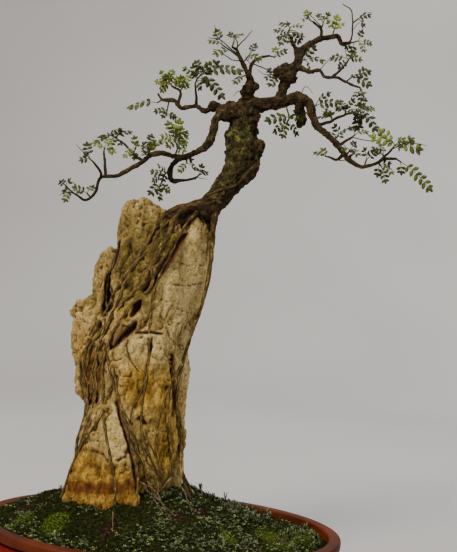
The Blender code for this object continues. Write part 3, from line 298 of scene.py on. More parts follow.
# Trunk and limbs: runs of (x, y, z, radius).
LIMBS = {
    "trunk": (
        (25, 1, 493, 11.4), (32, 1, 507, 14.7), (42, 3, 521, 16.1), (50, 5, 534, 16.8),
        (60, 7, 549, 18.8), (68, 10, 562, 22.1), (70, 12, 576, 22.8), (69, 13, 588, 22.8),
        (65, 15, 601, 20.1), (66, 15, 614, 18.1), (67, 15, 628, 18.8), (64, 15, 640, 17.5),
        (67, 14, 649, 10.0), (71, 12, 658, 6.0),
    ),
    "left_low": (
        (59, 15, 633, 9.4), (45, 9, 632, 7.4), (32, 2, 627, 5.7), (28, -4, 609, 5.4),
        (25, -7, 595, 5.4), (17, -12, 582, 4.7), (5, -17, 574, 4.2), (-9, -20, 566, 4.0),
        (-23, -23, 567, 3.5), (-39, -27, 569, 3.4), (-52, -30, 564, 3.4), (-62, -35, 554, 3.4),
        (-75, -39, 544, 2.8), (-88, -44, 534, 2.5), (-103, -49, 530, 2.3), (-112, -52, 526, 2.0),
        (-115, -55, 510, 2.0), (-125, -59, 498, 1.7), (-140, -62, 504, 1.5),
    ),
    "left_high": (
        (55, 18, 641, 8.0), (40, 25, 643, 6.0), (25, 34, 645, 4.7), (11, 44, 641, 3.4),
        (-1, 53, 649, 3.0), (-21, 63, 646, 3.0), (-34, 69, 657, 3.0), (-50, 76, 658, 2.0),
        (-58, 81, 667, 1.6),
    ),
    "centre": (
        (69, 10, 656, 6.5), (72, 5, 675, 5.4), (68, -1, 686, 3.7), (58, -7, 702, 2.8),
        (51, -12, 714, 2.0), (44, -15, 718, 1.5),
    ),
    "centre_right": ((68, 1, 682, 3.4), (72, 9, 704, 2.4), (81, 15, 713, 2.0), (95, 21, 719, 1.6)),
    "right_low": (
        (66, 15, 646, 10.7), (82, 12, 649, 10.1), (101, 9, 651, 8.7), (120, 4, 654, 7.4),
        (136, -1, 661, 7.4), (151, -6, 654, 6.2), (158, -11, 637, 5.4), (165, -17, 621, 5.0),
        (178, -23, 610, 4.2), (192, -30, 596, 3.8), (203, -36, 581, 3.3), (219, -43, 570, 2.7),
        (233, -49, 571, 2.3), (250, -55, 579, 2.0), (264, -60, 581, 1.6),
    ),
    "right_stub": ((139, 1, 654, 6.0), (143, 4, 640, 6.0), (144, 5, 627, 5.4)),
    "right_high": (
        (109, 9, 653, 6.7), (115, 18, 666, 6.0), (118, 28, 681, 6.7), (122, 34, 695, 8.7),
        (128, 39, 706, 8.4), (136, 44, 718, 7.0), (137, 49, 730, 6.0), (134, 52, 738, 4.8),
    ),
    "high_left": ((136, 49, 729, 4.0), (129, 50, 743, 3.1), (123, 52, 755, 2.0)),
    "high_right": (
        (136, 49, 729, 5.6), (145, 55, 742, 4.8), (155, 61, 752, 4.4), (167, 68, 760, 4.0),
        (190, 76, 768, 3.3), (200, 82, 759, 3.0), (211, 87, 763, 1.9),
    ),
    "high_top": ((166, 66, 758, 2.4), (166, 65, 773, 2.0), (154, 63, 782, 1.5)),
    "high_tip": (
        (200, 78, 760, 1.5), (210, 79, 764, 1.3), (211, 76, 784, 1.1), (208, 73, 804, 0.9),
        (194, 71, 813, 0.6),
    ),
    "high_side": (
        (136, 41, 712, 4.4), (152, 28, 703, 2.8), (164, 18, 704, 2.3), (173, 9, 693, 2.1),
        (188, -1, 691, 1.9), (205, -11, 682, 1.7), (217, -17, 677, 1.3),
    ),
    "side_fork": ((180, 4, 692, 2.0), (193, 10, 706, 1.6), (201, 15, 717, 1.3)),
    "drop": (
        (-13, -20, 565, 3.7), (-21, -11, 559, 3.2), (-26, -1, 551, 3.4), (-23, 7, 537, 3.1),
        (-7, 15, 540, 2.0), (8, 23, 545, 1.5),
    ),
    "left_fork": ((-105, -49, 530, 2.0), (-108, -39, 547, 2.0), (-112, -31, 563, 1.3)),
    "left_twig": ((-110, -52, 528, 1.7), (-110, -65, 536, 1.7), (-118, -75, 545, 1.3)),
    "left_rise": ((-61, -33, 556, 2.3), (-74, -20, 566, 1.9), (-87, -9, 577, 1.6), (-98, -1, 585, 1.2)),
    "high_shoot": ((-1, 53, 649, 2.4), (-2, 47, 663, 1.7), (-4, 41, 677, 1.3)),
    "high_out": ((-27, 66, 652, 2.4), (-26, 73, 671, 1.9), (-39, 82, 680, 1.5)),
    "right_back": ((200, -35, 587, 2.7), (194, -23, 580, 2.0), (182, -14, 583, 1.3)),
    "right_cluster": (
        (164, -15, 624, 2.7), (182, -1, 632, 2.0), (202, 10, 644, 1.7), (219, 21, 652, 1.3),
    ),
    "right_thin": ((192, -30, 596, 2.4), (204, -17, 605, 1.9), (213, -4, 613, 1.3)),
    "right_far": ((239, -51, 573, 2.0), (248, -65, 581, 1.7), (255, -78, 590, 1.3)),
}
# Fine bare twigs: the radius at the wood that each grows from, then its (x, z) points.
BARE_TWIGS = {
    "centre_up_left": (1.0, ((55, 709), (45, 715), (36, 720), (25, 726), (13, 726))),
    "centre_whisker": (0.7, ((25, 726), (21, 733), (19, 743))),
    "centre_low_left": (0.8, ((53, 699), (45, 703), (37, 706), (28, 711), (19, 712))),
    "centre_tip": (0.9, ((52, 717), (50, 726), (45, 732), (42, 737))),
    "centre_tip_right": (0.9, ((53, 720), (58, 727), (64, 734), (69, 740))),
    "centre_feather": (0.6, ((72, 702), (66, 706), (62, 712))),
    "centre_feather_up": (0.6, ((69, 707), (70, 716), (72, 723))),
    "centre_down": (0.7, ((62, 669), (56, 663), (51, 656))),
    "centre_right_low": (0.9, ((78, 702), (86, 699), (95, 694), (100, 689))),
    "top_left_fork": (1.0, ((168, 764), (166, 775), (157, 783), (146, 791))),
    "top_right_fork": (0.8, ((166, 775), (170, 786), (177, 794))),
    "tip_side": (0.7, ((212, 787), (217, 793), (226, 801), (236, 803))),
    "tip_side_low": (0.6, ((210, 778), (219, 788), (224, 792))),
    "tip_down": (0.7, ((203, 756), (206, 745), (208, 734))),
    "stem_arc": (0.6, ((175, 718), (182, 724), (191, 723))),
    "side_end": (0.7, ((207, 680), (212, 678), (219, 674), (220, 668))),
    "right_loop": (0.6, ((139, 670), (145, 674), (151, 672), (156, 665))),
    "under_high": (0.6, ((99, 682), (89, 688), (80, 693))),
    "tip_fan_a": (0.7, ((-139, 504), (-147, 509), (-156, 516))),
    "tip_fan_b": (0.7, ((-143, 507), (-152, 506), (-158, 500))),
    "tip_fan_c": (0.7, ((-135, 510), (-140, 516), (-147, 519))),
    "left_whisker": (0.8, ((-117, 545), (-125, 551), (-133, 558), (-139, 564))),
    "drop_loop": (0.8, ((-2, 544), (8, 546), (18, 551), (20, 556))),
    "drop_thorn": (0.6, ((11, 546), (18, 544), (24, 543))),
    "limb_thorn": (0.6, ((7, 575), (10, 570))),
    "far_a": (0.7, ((259, 593), (271, 598), (284, 598), (296, 596))),
    "far_b": (0.7, ((231, 604), (240, 610), (250, 613))),
    "elbow_low": (0.9, ((191, 581), (198, 578), (203, 578))),
    "trunk_thorn_left": (0.7, ((42, 601), (35, 602))),
    "trunk_thorn_right": (0.7, ((85, 604), (91, 603))),
}
# Burls on the trunk and crown: (x, y, z, radius).
KNOBS = (
    (85, 6, 588, 13), (49, 9, 641, 10.5), (25, 25, 645, 8), (79, 6, 672, 6.0), (122, 22, 695, 10),
)

# Roots over the stone: runs of (x, z, radius), laid on its front (-1) or its back (+1).
# ROOT_CRESTS brings the back ones over the stone's top, as (x, y, z, radius).
ROOT_CRESTS = {
    "back_right": ((44, 5, 524, 12.0), (37, 24, 511, 9.0), (31, 42, 497, 7.0)),
    "back_left": ((40, 4, 520, 11.0), (20, 22, 514, 8.5), (2, 42, 509, 7.0), (-10, 55, 499, 6.0)),
}
ROOTS = {
    "right_outer": (-1, (
        (42, 517, 9.7), (39, 501, 7.7), (38, 486, 6.0), (38, 465, 5.2), (38, 443, 4.8),
        (37, 421, 4.7), (35, 399, 4.4), (31, 377, 4.0), (26, 358, 4.0), (20, 336, 3.7),
        (15, 314, 3.4), (7, 270, 3.4), (8, 226, 3.4), (17, 184, 3.4), (24, 144, 3.7),
        (38, 104, 4.0),
    )),
    "saddle": (-1, (
        (30, 508, 12.1), (15, 505, 9.4), (1, 502, 8.0), (-9, 495, 6.7), (-15, 481, 6.0),
        (-20, 465, 5.4), (-27, 448, 4.7), (-34, 432, 4.4), (-41, 418, 4.0), (-46, 401, 3.7),
        (-55, 388, 3.4), (-67, 376, 3.4), (-78, 361, 3.0), (-88, 347, 3.0), (-96, 331, 3.0),
        (-103, 295, 2.7), (-103, 258, 2.7), (-101, 220, 2.7), (-108, 188, 2.7), (-120, 155, 2.7),
        (-130, 123, 2.7), (-139, 86, 2.7),
    )),
    "bundle": (-1, (
        (10, 506, 8.0), (-13, 500, 6.0), (-26, 490, 4.7), (-36, 476, 4.0), (-45, 457, 3.7),
        (-54, 438, 3.4), (-63, 421, 3.4), (-72, 406, 3.4), (-81, 390, 3.0), (-90, 372, 3.0),
        (-98, 353, 2.7), (-107, 336, 2.7), (-113, 320, 2.7), (-119, 304, 2.7), (-121, 285, 2.7),
        (-120, 266, 2.7), (-116, 248, 2.4), (-111, 232, 2.4), (-106, 218, 2.6), (-103, 206, 2.7),
    )),
    "boundary": (-1, (
        (-38, 420, 3.4), (-36, 400, 3.0), (-42, 386, 3.0), (-62, 366, 2.7), (-72, 348, 2.7),
        (-82, 331, 2.7), (-88, 315, 2.7), (-84, 284, 2.7), (-71, 251, 2.7), (-53, 218, 2.7),
        (-40, 188, 2.7), (-28, 160, 2.8), (-19, 131, 3.4), (-12, 98, 3.4),
    )),
    "slab": (-1, (
        (-88, 318, 2.7), (-94, 281, 2.3), (-88, 240, 2.3), (-80, 203, 2.3), (-69, 168, 2.3),
        (-60, 132, 2.3), (-58, 94, 2.4),
    )),
    "thin": (-1, (
        (17, 500, 4.0), (6, 485, 3.4), (-4, 468, 2.7), (-12, 449, 2.4), (-19, 430, 2.3),
        (-27, 411, 2.1), (-31, 393, 2.1), (-34, 374, 2.0), (-35, 353, 2.0), (-35, 332, 2.0),
        (-32, 291, 2.0), (-36, 246, 2.0), (-34, 204, 2.0), (-20, 170, 2.1), (-3, 139, 2.4),
        (14, 100, 2.4),
    )),
    "right_low": (-1, (
        (13, 300, 2.7), (-2, 268, 2.4), (-10, 240, 2.3), (-14, 210, 2.1), (-14, 184, 2.1),
        (-9, 162, 2.3), (-5, 144, 2.4),
    )),
    "back_right": (1, (
        (26, 478, 5.4), (16, 442, 4.4), (8, 405, 4.0),
        (2, 365, 3.8), (-4, 325, 3.5), (-2, 280, 3.3), (4, 235, 3.2), (8, 190, 3.1),
        (12, 150, 3.2), (16, 118, 3.4), (18, 92, 3.4),
    )),
    "back_left": (1, (
        (-22, 482, 5.0), (-34, 455, 4.4), (-46, 420, 4.0),
        (-56, 380, 3.8), (-64, 335, 3.5), (-70, 290, 3.3), (-74, 245, 3.2), (-80, 200, 3.1),
        (-86, 160, 3.2), (-92, 122, 3.4), (-96, 92, 3.4),
    )),
}

# Leafy shoots: where each leaves its twig, its own points, then its leaves as
# (shoot point, leaf tip).
SPRAYS = {
    "left_tip": (
        ((-140, -62, 504), (-146, -65, 508), (-151, -67, 513)),
        ((1, (-151, -73, 491)), (1, (-159, -57, 507)), (2, (-145, -72, 523)), (2, (-162, -60, 520))),
    ),
    "left_back": (((-120, -57, 501), (-125, -60, 506)), ((1, (-143, -71, 512)), (1, (-118, -51, 519)))),
    "left_twig": (
        ((-118, -75, 545), (-122, -78, 548)),
        ((1, (-135, -84, 544)), (1, (-130, -82, 555)), (1, (-129, -70, 571))),
    ),
    "left_fork": (
        ((-112, -31, 563), (-112, -30, 569)),
        ((1, (-127, -42, 574)), (1, (-104, -18, 586)), (1, (-95, -32, 564))),
    ),
    "left_fan": (
        ((-98, -1, 585), (-104, 2, 589), (-111, 5, 592)),
        ((1, (-81, 8, 600)), (1, (-108, -10, 568)), (2, (-130, -3, 578)), (2, (-95, -3, 601))),
    ),
    "left_mid": (((-75, -19, 567), (-71, -27, 574)), ((1, (-86, -35, 558)), (1, (-74, -37, 588)))),
    "left_rise": (
        ((-56, -28, 563), (-53, -23, 572)),
        ((1, (-63, -35, 568)), (1, (-53, -15, 596)), (1, (-37, -27, 587))),
    ),
    "left_crown": (
        ((-20, -23, 567), (-17, -27, 577), (-21, -28, 587)),
        ((1, (-3, -37, 585)), (2, (-40, -41, 590)), (2, (-33, -27, 613)), (2, (-16, -39, 615)),
         (2, (-5, -19, 603))),
    ),
    "drop_leaf": (
        ((-26, -1, 551), (-33, -6, 543), (-36, -11, 531)),
        ((1, (-52, -15, 546)), (1, (-51, 5, 533)), (2, (-51, -21, 513)), (2, (-37, -3, 507))),
    ),
    "drop_top": (((-5, -17, 568), (-4, -12, 560)), ((1, (10, -5, 552)), (1, (-14, -22, 546)))),
    "drop_tip": (((8, 23, 545), (13, 28, 552)), ((1, (25, 34, 556)), (1, (15, 22, 566)))),
    "high_long": (((-51, 76, 658), (-58, 79, 654)), ((1, (-102, 83, 644)),)),
    "high_hang": (
        ((-41, 73, 655), (-42, 69, 643), (-43, 68, 634)),
        ((1, (-61, 63, 638)), (2, (-26, 73, 635))),
    ),
    "high_out": (
        ((-39, 82, 680), (-44, 85, 686)),
        ((1, (-66, 91, 687)), (1, (-58, 79, 701)), (1, (-40, 91, 707))),
    ),
    "high_mid": (((-26, 73, 672), (-22, 68, 678)), ((1, (-27, 61, 693)), (1, (-13, 73, 697)))),
    "high_fan": (
        ((-4, 41, 677), (-1, 39, 685), (7, 36, 692)),
        ((1, (-23, 32, 697)), (1, (21, 48, 678)), (2, (-8, 45, 711)), (2, (15, 27, 707)),
         (2, (63, 39, 701))),
    ),
    "centre_low": (((68, -1, 686), (61, -7, 682)), ((1, (49, -15, 669)), (1, (49, -1, 691)))),
    "centre_left": (
        ((57, -7, 705), (43, -17, 712), (31, -25, 717)),
        ((1, (19, -29, 703)), (2, (11, -30, 721)), (2, (20, -20, 740))),
    ),
    "centre_top": (((44, -15, 718), (46, -14, 726)), ((1, (38, -10, 740)), (1, (57, -4, 741)))),
    "centre_bare": (((60, -7, 700), (67, -14, 709)), ((1, (76, -8, 728)), (1, (85, -22, 702)))),
    "centre_end": (((95, 21, 719), (103, 23, 718)), ((1, (103, 30, 735)), (1, (119, 16, 729)))),
    "crown_dark": (
        ((120, 34, 696), (110, 25, 693)),
        ((1, (89, 19, 688)), (1, (97, 12, 675)), (1, (93, 29, 704))),
    ),
    "upper_fan": (
        ((123, 52, 755), (119, 53, 761), (122, 55, 769)),
        ((1, (98, 57, 765)), (1, (108, 47, 740)), (1, (145, 59, 759)), (2, (106, 64, 778)),
         (2, (140, 44, 771))),
    ),
    "upper_twig": (((154, 63, 782), (149, 63, 784)), ((1, (135, 57, 783)), (1, (143, 69, 801)))),
    "upper_fork": (((166, 65, 772), (168, 61, 780)), ((1, (175, 56, 796)), (1, (160, 68, 797)))),
    "upper_bright": (
        ((183, 73, 765), (185, 69, 775)),
        ((1, (173, 61, 786)), (1, (189, 75, 800)), (1, (199, 63, 785))),
    ),
    "upper_right": (
        ((211, 87, 763), (217, 89, 765), (222, 89, 767)),
        ((1, (216, 95, 748)), (2, (228, 87, 784)), (2, (245, 95, 765)), (2, (233, 81, 749))),
    ),
    "upper_tip": (((213, 76, 790), (218, 73, 794)), ((1, (236, 67, 801)), (1, (231, 79, 785)))),
    "shoulder": (((137, 44, 722), (145, 36, 721)), ((1, (173, 29, 721)), (1, (154, 39, 708)))),
    "fork_leaf": (
        ((201, 15, 717), (203, 17, 722)),
        ((1, (177, 26, 724)), (1, (205, 8, 734)), (1, (222, 12, 721))),
    ),
    "side_large": (((199, -6, 686), (207, -1, 694)), ((1, (234, 7, 707)), (1, (235, -5, 683)))),
    "side_tip": (((217, -17, 677), (218, -19, 672)), ((1, (219, -24, 657)), (1, (207, -28, 662)))),
    "under_limb": (
        ((122, 1, 649), (127, -4, 633), (125, -6, 625)),
        ((1, (94, -14, 624)), (1, (140, -16, 631)), (2, (119, -13, 602)), (2, (143, 1, 610)),
         (2, (106, 3, 611))),
    ),
    "limb_long": (((156, -7, 647), (162, -15, 650)), ((1, (193, -23, 654)),)),
    "cluster_low": (((185, 1, 633), (185, 9, 640)), ((1, (166, 17, 640)), (1, (174, 1, 650)))),
    "cluster_mid": (((203, 12, 645), (203, 5, 650)), ((1, (195, 13, 666)), (1, (213, -3, 666)))),
    "cluster_end": (
        ((219, 21, 652), (224, 23, 654)),
        ((1, (251, 16, 626)), (1, (246, 32, 662)), (1, (231, 20, 673)), (1, (229, 38, 639))),
    ),
    "elbow": (((186, -27, 602), (192, -30, 610)), ((1, (184, -41, 623)), (1, (201, -39, 617)))),
    "limb_mid": (
        ((203, -36, 583), (207, -39, 590)),
        ((1, (220, -51, 583)), (1, (216, -31, 604)), (1, (192, -49, 592))),
    ),
    "limb_thin": (((213, -4, 613), (217, -3, 617)), ((1, (236, 2, 624)), (1, (209, 6, 630)))),
    "limb_back": (((182, -14, 583), (178, -12, 584)), ((1, (162, -7, 589)),)),
    "low_inner": (((226, -46, 569), (229, -43, 579)), ((1, (223, -53, 594)), (1, (244, -37, 594)))),
    "low_outer": (((250, -55, 579), (247, -62, 584)), ((1, (230, -70, 592)), (1, (243, -52, 602)))),
    "far_twig": (
        ((255, -78, 590), (258, -81, 595)),
        ((1, (223, -85, 604)), (1, (271, -75, 606)), (1, (293, -87, 591))),
    ),
    "far_leaf": (((264, -60, 581), (270, -62, 577)), ((1, (313, -66, 542)), (1, (273, -58, 560)))),
    "low_hang": (((243, -52, 575), (247, -55, 570)), ((1, (254, -59, 548)), (1, (262, -67, 560)))),
}


def linear(hex_colour):
    """An sRGB hex value as linear red, green, blue and alpha."""
    parts = [int(hex_colour[i:i + 2], 16) / 255 for i in (1, 3, 5)]
    return (*[c / 12.92 if c <= 0.04045 else ((c + 0.055) / 1.055) ** 2.4 for c in parts], 1.0)


def to_frame(points):
    """Table millimetres as the frame's metres."""
    return (np.asarray(points, float) + (TRAY_X, 0.0, 0.0)) * MM


def to_table(points):
    """The frame's metres as table millimetres."""
    return np.asarray(points, float) / MM - (TRAY_X, 0.0, 0.0)


def per_mm(size):
    """The texture scale, on coordinates in metres, whose features measure size millimetres."""
    return 1 / (size * MM)


def add_node(tree, kind, inputs=None, output=0, stops=None, **settings):
    """Adds a node, sets it up, fills its inputs with values or sockets and returns one output."""
    node = tree.nodes.new("ShaderNode" + kind)
    for key, value in settings.items():
        setattr(node, key, value)
    for key, value in (inputs or {}).items():
        if isinstance(value, bpy.types.NodeSocket):
            tree.links.new(value, node.inputs[key])
        else:
            node.inputs[key].default_value = value
    if stops:
        ramp = node.color_ramp
        while len(ramp.elements) < len(stops):
            ramp.elements.new(0.5)
        for element, (place, colour) in zip(ramp.elements, stops):
            element.position = place
            element.color = linear(colour) if isinstance(colour, str) else colour
    return node.outputs[output] if node.outputs else None


def chosen(name, share=1.0):
    """The colour that the user chose for this surface, made darker or lighter by the share."""
    return (*[channel * share for channel in getattr(bpy.context.scene.bonsai_colours, name)], 1.0)


def make_material(name, finish):
    """A material whose Principled shader takes its inputs from the finish."""
    made = bpy.data.materials.new(name)
    made.use_nodes = True
    tree = made.node_tree
    tree.nodes.clear()
    surface = add_node(tree, "BsdfPrincipled", finish(tree))
    add_node(tree, "OutputMaterial", {"Surface": surface})
    return made


def unglazed_stoneware(tree):
    """Red-brown stoneware, fired unglazed: iron specks, a paler worn lip, a dull handled shine."""
    where = add_node(tree, "TexCoord", output="Object")
    height = add_node(tree, "SeparateXYZ", {"Vector": where}, output="Z")
    cloud = add_node(tree, "TexNoise", {"Vector": where, "Scale": per_mm(55), "Detail": 5.0})
    grit = add_node(tree, "TexNoise", {"Vector": where, "Scale": per_mm(1.6), "Detail": 3.0})
    wall = add_node(
        tree, "ValToRGB", {"Fac": cloud},
        stops=((0.3, chosen("clay", 0.45)), (0.5, chosen("clay")), (0.7, chosen("clay", 1.7))),
    )
    lip = add_node(tree, "ValToRGB", {"Fac": cloud}, stops=((0.3, "#331203"), (0.7, "#56240B")))
    worn = add_node(tree, "MapRange", {"Value": height, "From Min": 63 * MM, "From Max": 69 * MM})
    body = add_node(tree, "Mix", {0: worn, 6: wall, 7: lip}, output=2, data_type="RGBA")
    specks = add_node(tree, "MapRange", {"Value": grit, "From Min": 0.6, "From Max": 0.72, "To Max": 0.6})
    specked = add_node(
        tree, "Mix", {0: specks, 6: body, 7: linear("#240D07")}, output=2, data_type="RGBA",
    )
    shine = add_node(tree, "MapRange", {"Value": cloud, "To Min": 0.42, "To Max": 0.6})
    relief = add_node(tree, "Bump", {"Height": grit, "Distance": 0.25 * MM, "Strength": 0.5})
    return {"Base Color": specked, "Roughness": shine, "Specular IOR Level": 0.1, "Normal": relief}


def screen_plastic(tree):
    """Black polyethylene mesh, moulded: matt with a faint grain."""
    where = add_node(tree, "TexCoord", output="Object")
    grain = add_node(tree, "TexNoise", {"Vector": where, "Scale": per_mm(2), "Detail": 2.0})
    tone = add_node(tree, "ValToRGB", {"Fac": grain}, stops=((0.3, "#141414"), (0.7, "#262626")))
    return {"Base Color": tone, "Roughness": 0.6}


def damp_soil(tree):
    """Damp granular soil: dark crumbs of 2 to 4 mm with paler grit."""
    where = add_node(tree, "TexCoord", output="Object")
    crumbs = add_node(tree, "TexVoronoi", {"Vector": where, "Scale": per_mm(3.5)}, output="Distance")
    tint = add_node(tree, "TexNoise", {"Vector": where, "Scale": per_mm(5), "Detail": 4.0})
    tone = add_node(
        tree, "ValToRGB", {"Fac": tint}, stops=((0.3, "#1B120C"), (0.55, "#35241A"), (0.75, "#5A4433")),
    )
    relief = add_node(tree, "Bump", {"Height": crumbs, "Distance": 1.5 * MM, "Strength": 0.8})
    return {"Base Color": tone, "Roughness": 0.95, "Specular IOR Level": 0.12, "Normal": relief}


def weathered_stone(tree):
    """Limestone, rain-worn: ochre and cream, olive film, amber stain, painted shade in hollows and cracks."""
    where = add_node(tree, "TexCoord", output="Object")
    drawn = add_node(tree, "Mapping", {"Vector": where, "Scale": (1.0, 1.0, 0.5)})
    cloud = add_node(
        tree, "TexNoise", {"Vector": drawn, "Scale": per_mm(24), "Detail": 8.0, "Roughness": 0.68},
    )
    blotch = add_node(
        tree, "TexNoise", {"Vector": drawn, "Scale": per_mm(10), "Detail": 8.0, "Roughness": 0.72},
    )
    grit = add_node(
        tree, "TexNoise", {"Vector": where, "Scale": per_mm(3), "Detail": 5.0, "Roughness": 0.75},
    )
    rough = add_node(
        tree, "ValToRGB", {"Fac": blotch},
        stops=((0.35, "#544420"), (0.45, "#8C773F"), (0.54, "#B59E62"), (0.64, "#E4D29C")),
    )
    tan = add_node(
        tree, "ValToRGB", {"Fac": cloud},
        stops=((0.36, chosen("stone", 0.62)), (0.5, chosen("stone")), (0.64, chosen("stone", 1.45))),
    )
    pale = add_node(tree, "ValToRGB", {"Fac": blotch}, stops=((0.34, "#AA8E4A"), (0.62, "#D8C38A")))
    amber = add_node(
        tree, "ValToRGB", {"Fac": blotch},
        stops=((0.36, "#6A4A10"), (0.46, "#94701F"), (0.56, "#B6923C"), (0.68, "#DABC66")),
    )
    rust = add_node(
        tree, "ValToRGB", {"Fac": blotch}, stops=((0.36, "#452607"), (0.5, "#693F0D"), (0.66, "#92601B")),
    )
    olive = add_node(
        tree, "ValToRGB", {"Fac": blotch}, stops=((0.35, "#2E260A"), (0.5, "#62531C"), (0.66, "#A08E48")),
    )
    dark = add_node(tree, "ValToRGB", {"Fac": blotch}, stops=((0.35, "#160806"), (0.65, "#4A2212")))
    colour = add_node(tree, "Mix", {0: 0.5, 6: tan, 7: rough}, output=2, data_type="RGBA")
    for name, stain, low, high in (
        ("pale", pale, 0.62, 0.95), ("amber", amber, 0.68, 1.1), ("olive", olive, 0.68, 1.2),
        ("rust", rust, 0.7, 1.3),
    ):
        share = add_node(tree, "Attribute", output="Fac", attribute_name=name)
        broken = add_node(tree, "Math", {0: share, 1: cloud}, operation="ADD")
        edge = add_node(tree, "MapRange", {"Value": broken, "From Min": low, "From Max": high})
        colour = add_node(tree, "Mix", {0: edge, 6: colour, 7: stain}, output=2, data_type="RGBA")
    specks = add_node(
        tree, "ValToRGB", {"Fac": grit}, stops=((0.36, "#A89D86"), (0.5, "#EAE6DC"), (0.62, "#FFFFFF")),
    )
    colour = add_node(
        tree, "Mix", {0: 1.0, 6: colour, 7: specks}, output=2, data_type="RGBA", blend_type="MULTIPLY",
    )
    # Painted shade: hollows of the mesh are multiplied darker.
    hollow = add_node(tree, "Attribute", output="Fac", attribute_name="hollow")
    shaded = add_node(
        tree, "Mix", {0: 1.0, 6: colour, 7: linear("#76603A")}, output=2, data_type="RGBA",
        blend_type="MULTIPLY",
    )
    colour = add_node(tree, "Mix", {0: hollow, 6: colour, 7: shaded}, output=2, data_type="RGBA")
    # Painted shade: the drawn cracks are darkened to a near-black reddish brown.
    cleft = add_node(tree, "Attribute", output="Fac", attribute_name="cleft")
    colour = add_node(tree, "Mix", {0: cleft, 6: colour, 7: dark}, output=2, data_type="RGBA")
    height = add_node(tree, "Math", {0: blotch, 1: grit}, operation="ADD")
    relief = add_node(tree, "Bump", {"Height": height, "Distance": 3.0 * MM, "Strength": 0.9})
    return {"Base Color": colour, "Roughness": 0.86, "Specular IOR Level": 0.2, "Normal": relief}


def furrowed_bark(tree):
    """Old bark: near-black furrows, brown ridges, redder in places, and moss where the piece says so."""
    where = add_node(tree, "TexCoord", output="Object")
    ridge = add_node(tree, "Attribute", output="Fac", attribute_name="ridge")
    moss = add_node(tree, "Attribute", output="Fac", attribute_name="moss")
    flakes = add_node(
        tree, "TexNoise", {"Vector": where, "Scale": per_mm(3.0), "Detail": 6.0, "Roughness": 0.78},
    )
    patches = add_node(
        tree, "TexNoise", {"Vector": where, "Scale": per_mm(5), "Detail": 6.0, "Roughness": 0.7},
    )
    drift = add_node(tree, "TexNoise", {"Vector": where, "Scale": per_mm(30), "Detail": 2.0})
    eased = add_node(tree, "Math", {0: ridge, 1: 0.45}, operation="MULTIPLY")
    mixed = add_node(tree, "Math", {0: eased, 1: flakes}, operation="ADD")
    height = add_node(tree, "MapRange", {"Value": mixed, "From Min": 0.5, "From Max": 1.02})
    bark = add_node(
        tree, "ValToRGB", {"Fac": height},
        stops=(
            (0.0, chosen("bark", 0.1)), (0.4, chosen("bark", 0.45)), (0.7, chosen("bark")),
            (1.0, chosen("bark", 3.2)),
        ),
    )
    ruddy = add_node(
        tree, "ValToRGB", {"Fac": height}, stops=((0.0, "#070302"), (0.5, "#2C1409"), (1.0, "#6B4426")),
    )
    warmth = add_node(tree, "MapRange", {"Value": drift, "From Min": 0.56, "From Max": 0.76})
    wood = add_node(tree, "Mix", {0: warmth, 6: bark, 7: ruddy}, output=2, data_type="RGBA")
    green = add_node(
        tree, "ValToRGB", {"Fac": height},
        stops=((0.05, "#0F0E06"), (0.4, "#313011"), (0.75, "#5F5F2C"), (1.0, "#8C8A4C")),
    )
    grown = add_node(tree, "Math", {0: moss, 1: patches}, operation="ADD")
    share = add_node(tree, "MapRange", {"Value": grown, "From Min": 0.65, "From Max": 1.15})
    colour = add_node(tree, "Mix", {0: share, 6: wood, 7: green}, output=2, data_type="RGBA")
    relief = add_node(tree, "Bump", {"Height": flakes, "Distance": 2.4 * MM, "Strength": 1.0})
    return {"Base Color": colour, "Roughness": 0.9, "Specular IOR Level": 0.15, "Normal": relief}


def bare_root(tree):
    """Aerial roots, skinned and sun-dried: olive brown, paler on their ridges, darker by the trunk with
    painted shade.
    """
    where = add_node(tree, "TexCoord", output="Object")
    ridge = add_node(tree, "Attribute", output="Fac", attribute_name="ridge")
    moss = add_node(tree, "Attribute", output="Fac", attribute_name="moss")
    fibres = add_node(
        tree, "TexNoise", {"Vector": where, "Scale": per_mm(4), "Detail": 5.0, "Roughness": 0.65},
    )
    patches = add_node(tree, "TexNoise", {"Vector": where, "Scale": per_mm(22), "Detail": 4.0})
    mixed = add_node(tree, "Math", {0: ridge, 1: fibres}, operation="ADD")
    height = add_node(tree, "MapRange", {"Value": mixed, "From Min": 0.6, "From Max": 1.4})
    skin = add_node(
        tree, "ValToRGB", {"Fac": height},
        stops=(
            (0.0, chosen("root", 0.12)), (0.4, chosen("root", 0.5)), (0.75, chosen("root", 1.25)),
            (1.0, chosen("root", 3.2)),
        ),
    )
    worn = add_node(
        tree, "ValToRGB", {"Fac": height}, stops=((0.0, "#20160E"), (0.5, "#584632"), (1.0, "#95826A")),
    )
    grown = add_node(tree, "Math", {0: moss, 1: patches}, operation="ADD")
    share = add_node(tree, "MapRange", {"Value": grown, "From Min": 0.8, "From Max": 1.2})
    colour = add_node(tree, "Mix", {0: share, 6: skin, 7: worn}, output=2, data_type="RGBA")
    # Painted shade: the roots are multiplied darker from 455 to 505 mm up, by the trunk.
    level = add_node(tree, "SeparateXYZ", {"Vector": where}, output="Z")
    trunk_shade = add_node(
        tree, "MapRange", {"Value": level, "From Min": 455 * MM, "From Max": 505 * MM, "To Max": 0.85},
    )
    shaded = add_node(
        tree, "Mix", {0: 1.0, 6: colour, 7: linear("#86755C")}, output=2, data_type="RGBA",
        blend_type="MULTIPLY",
    )
    colour = add_node(tree, "Mix", {0: trunk_shade, 6: colour, 7: shaded}, output=2, data_type="RGBA")
    relief = add_node(tree, "Bump", {"Height": fibres, "Distance": 1.0 * MM, "Strength": 0.8})
    return {"Base Color": colour, "Roughness": 0.85, "Specular IOR Level": 0.2, "Normal": relief}


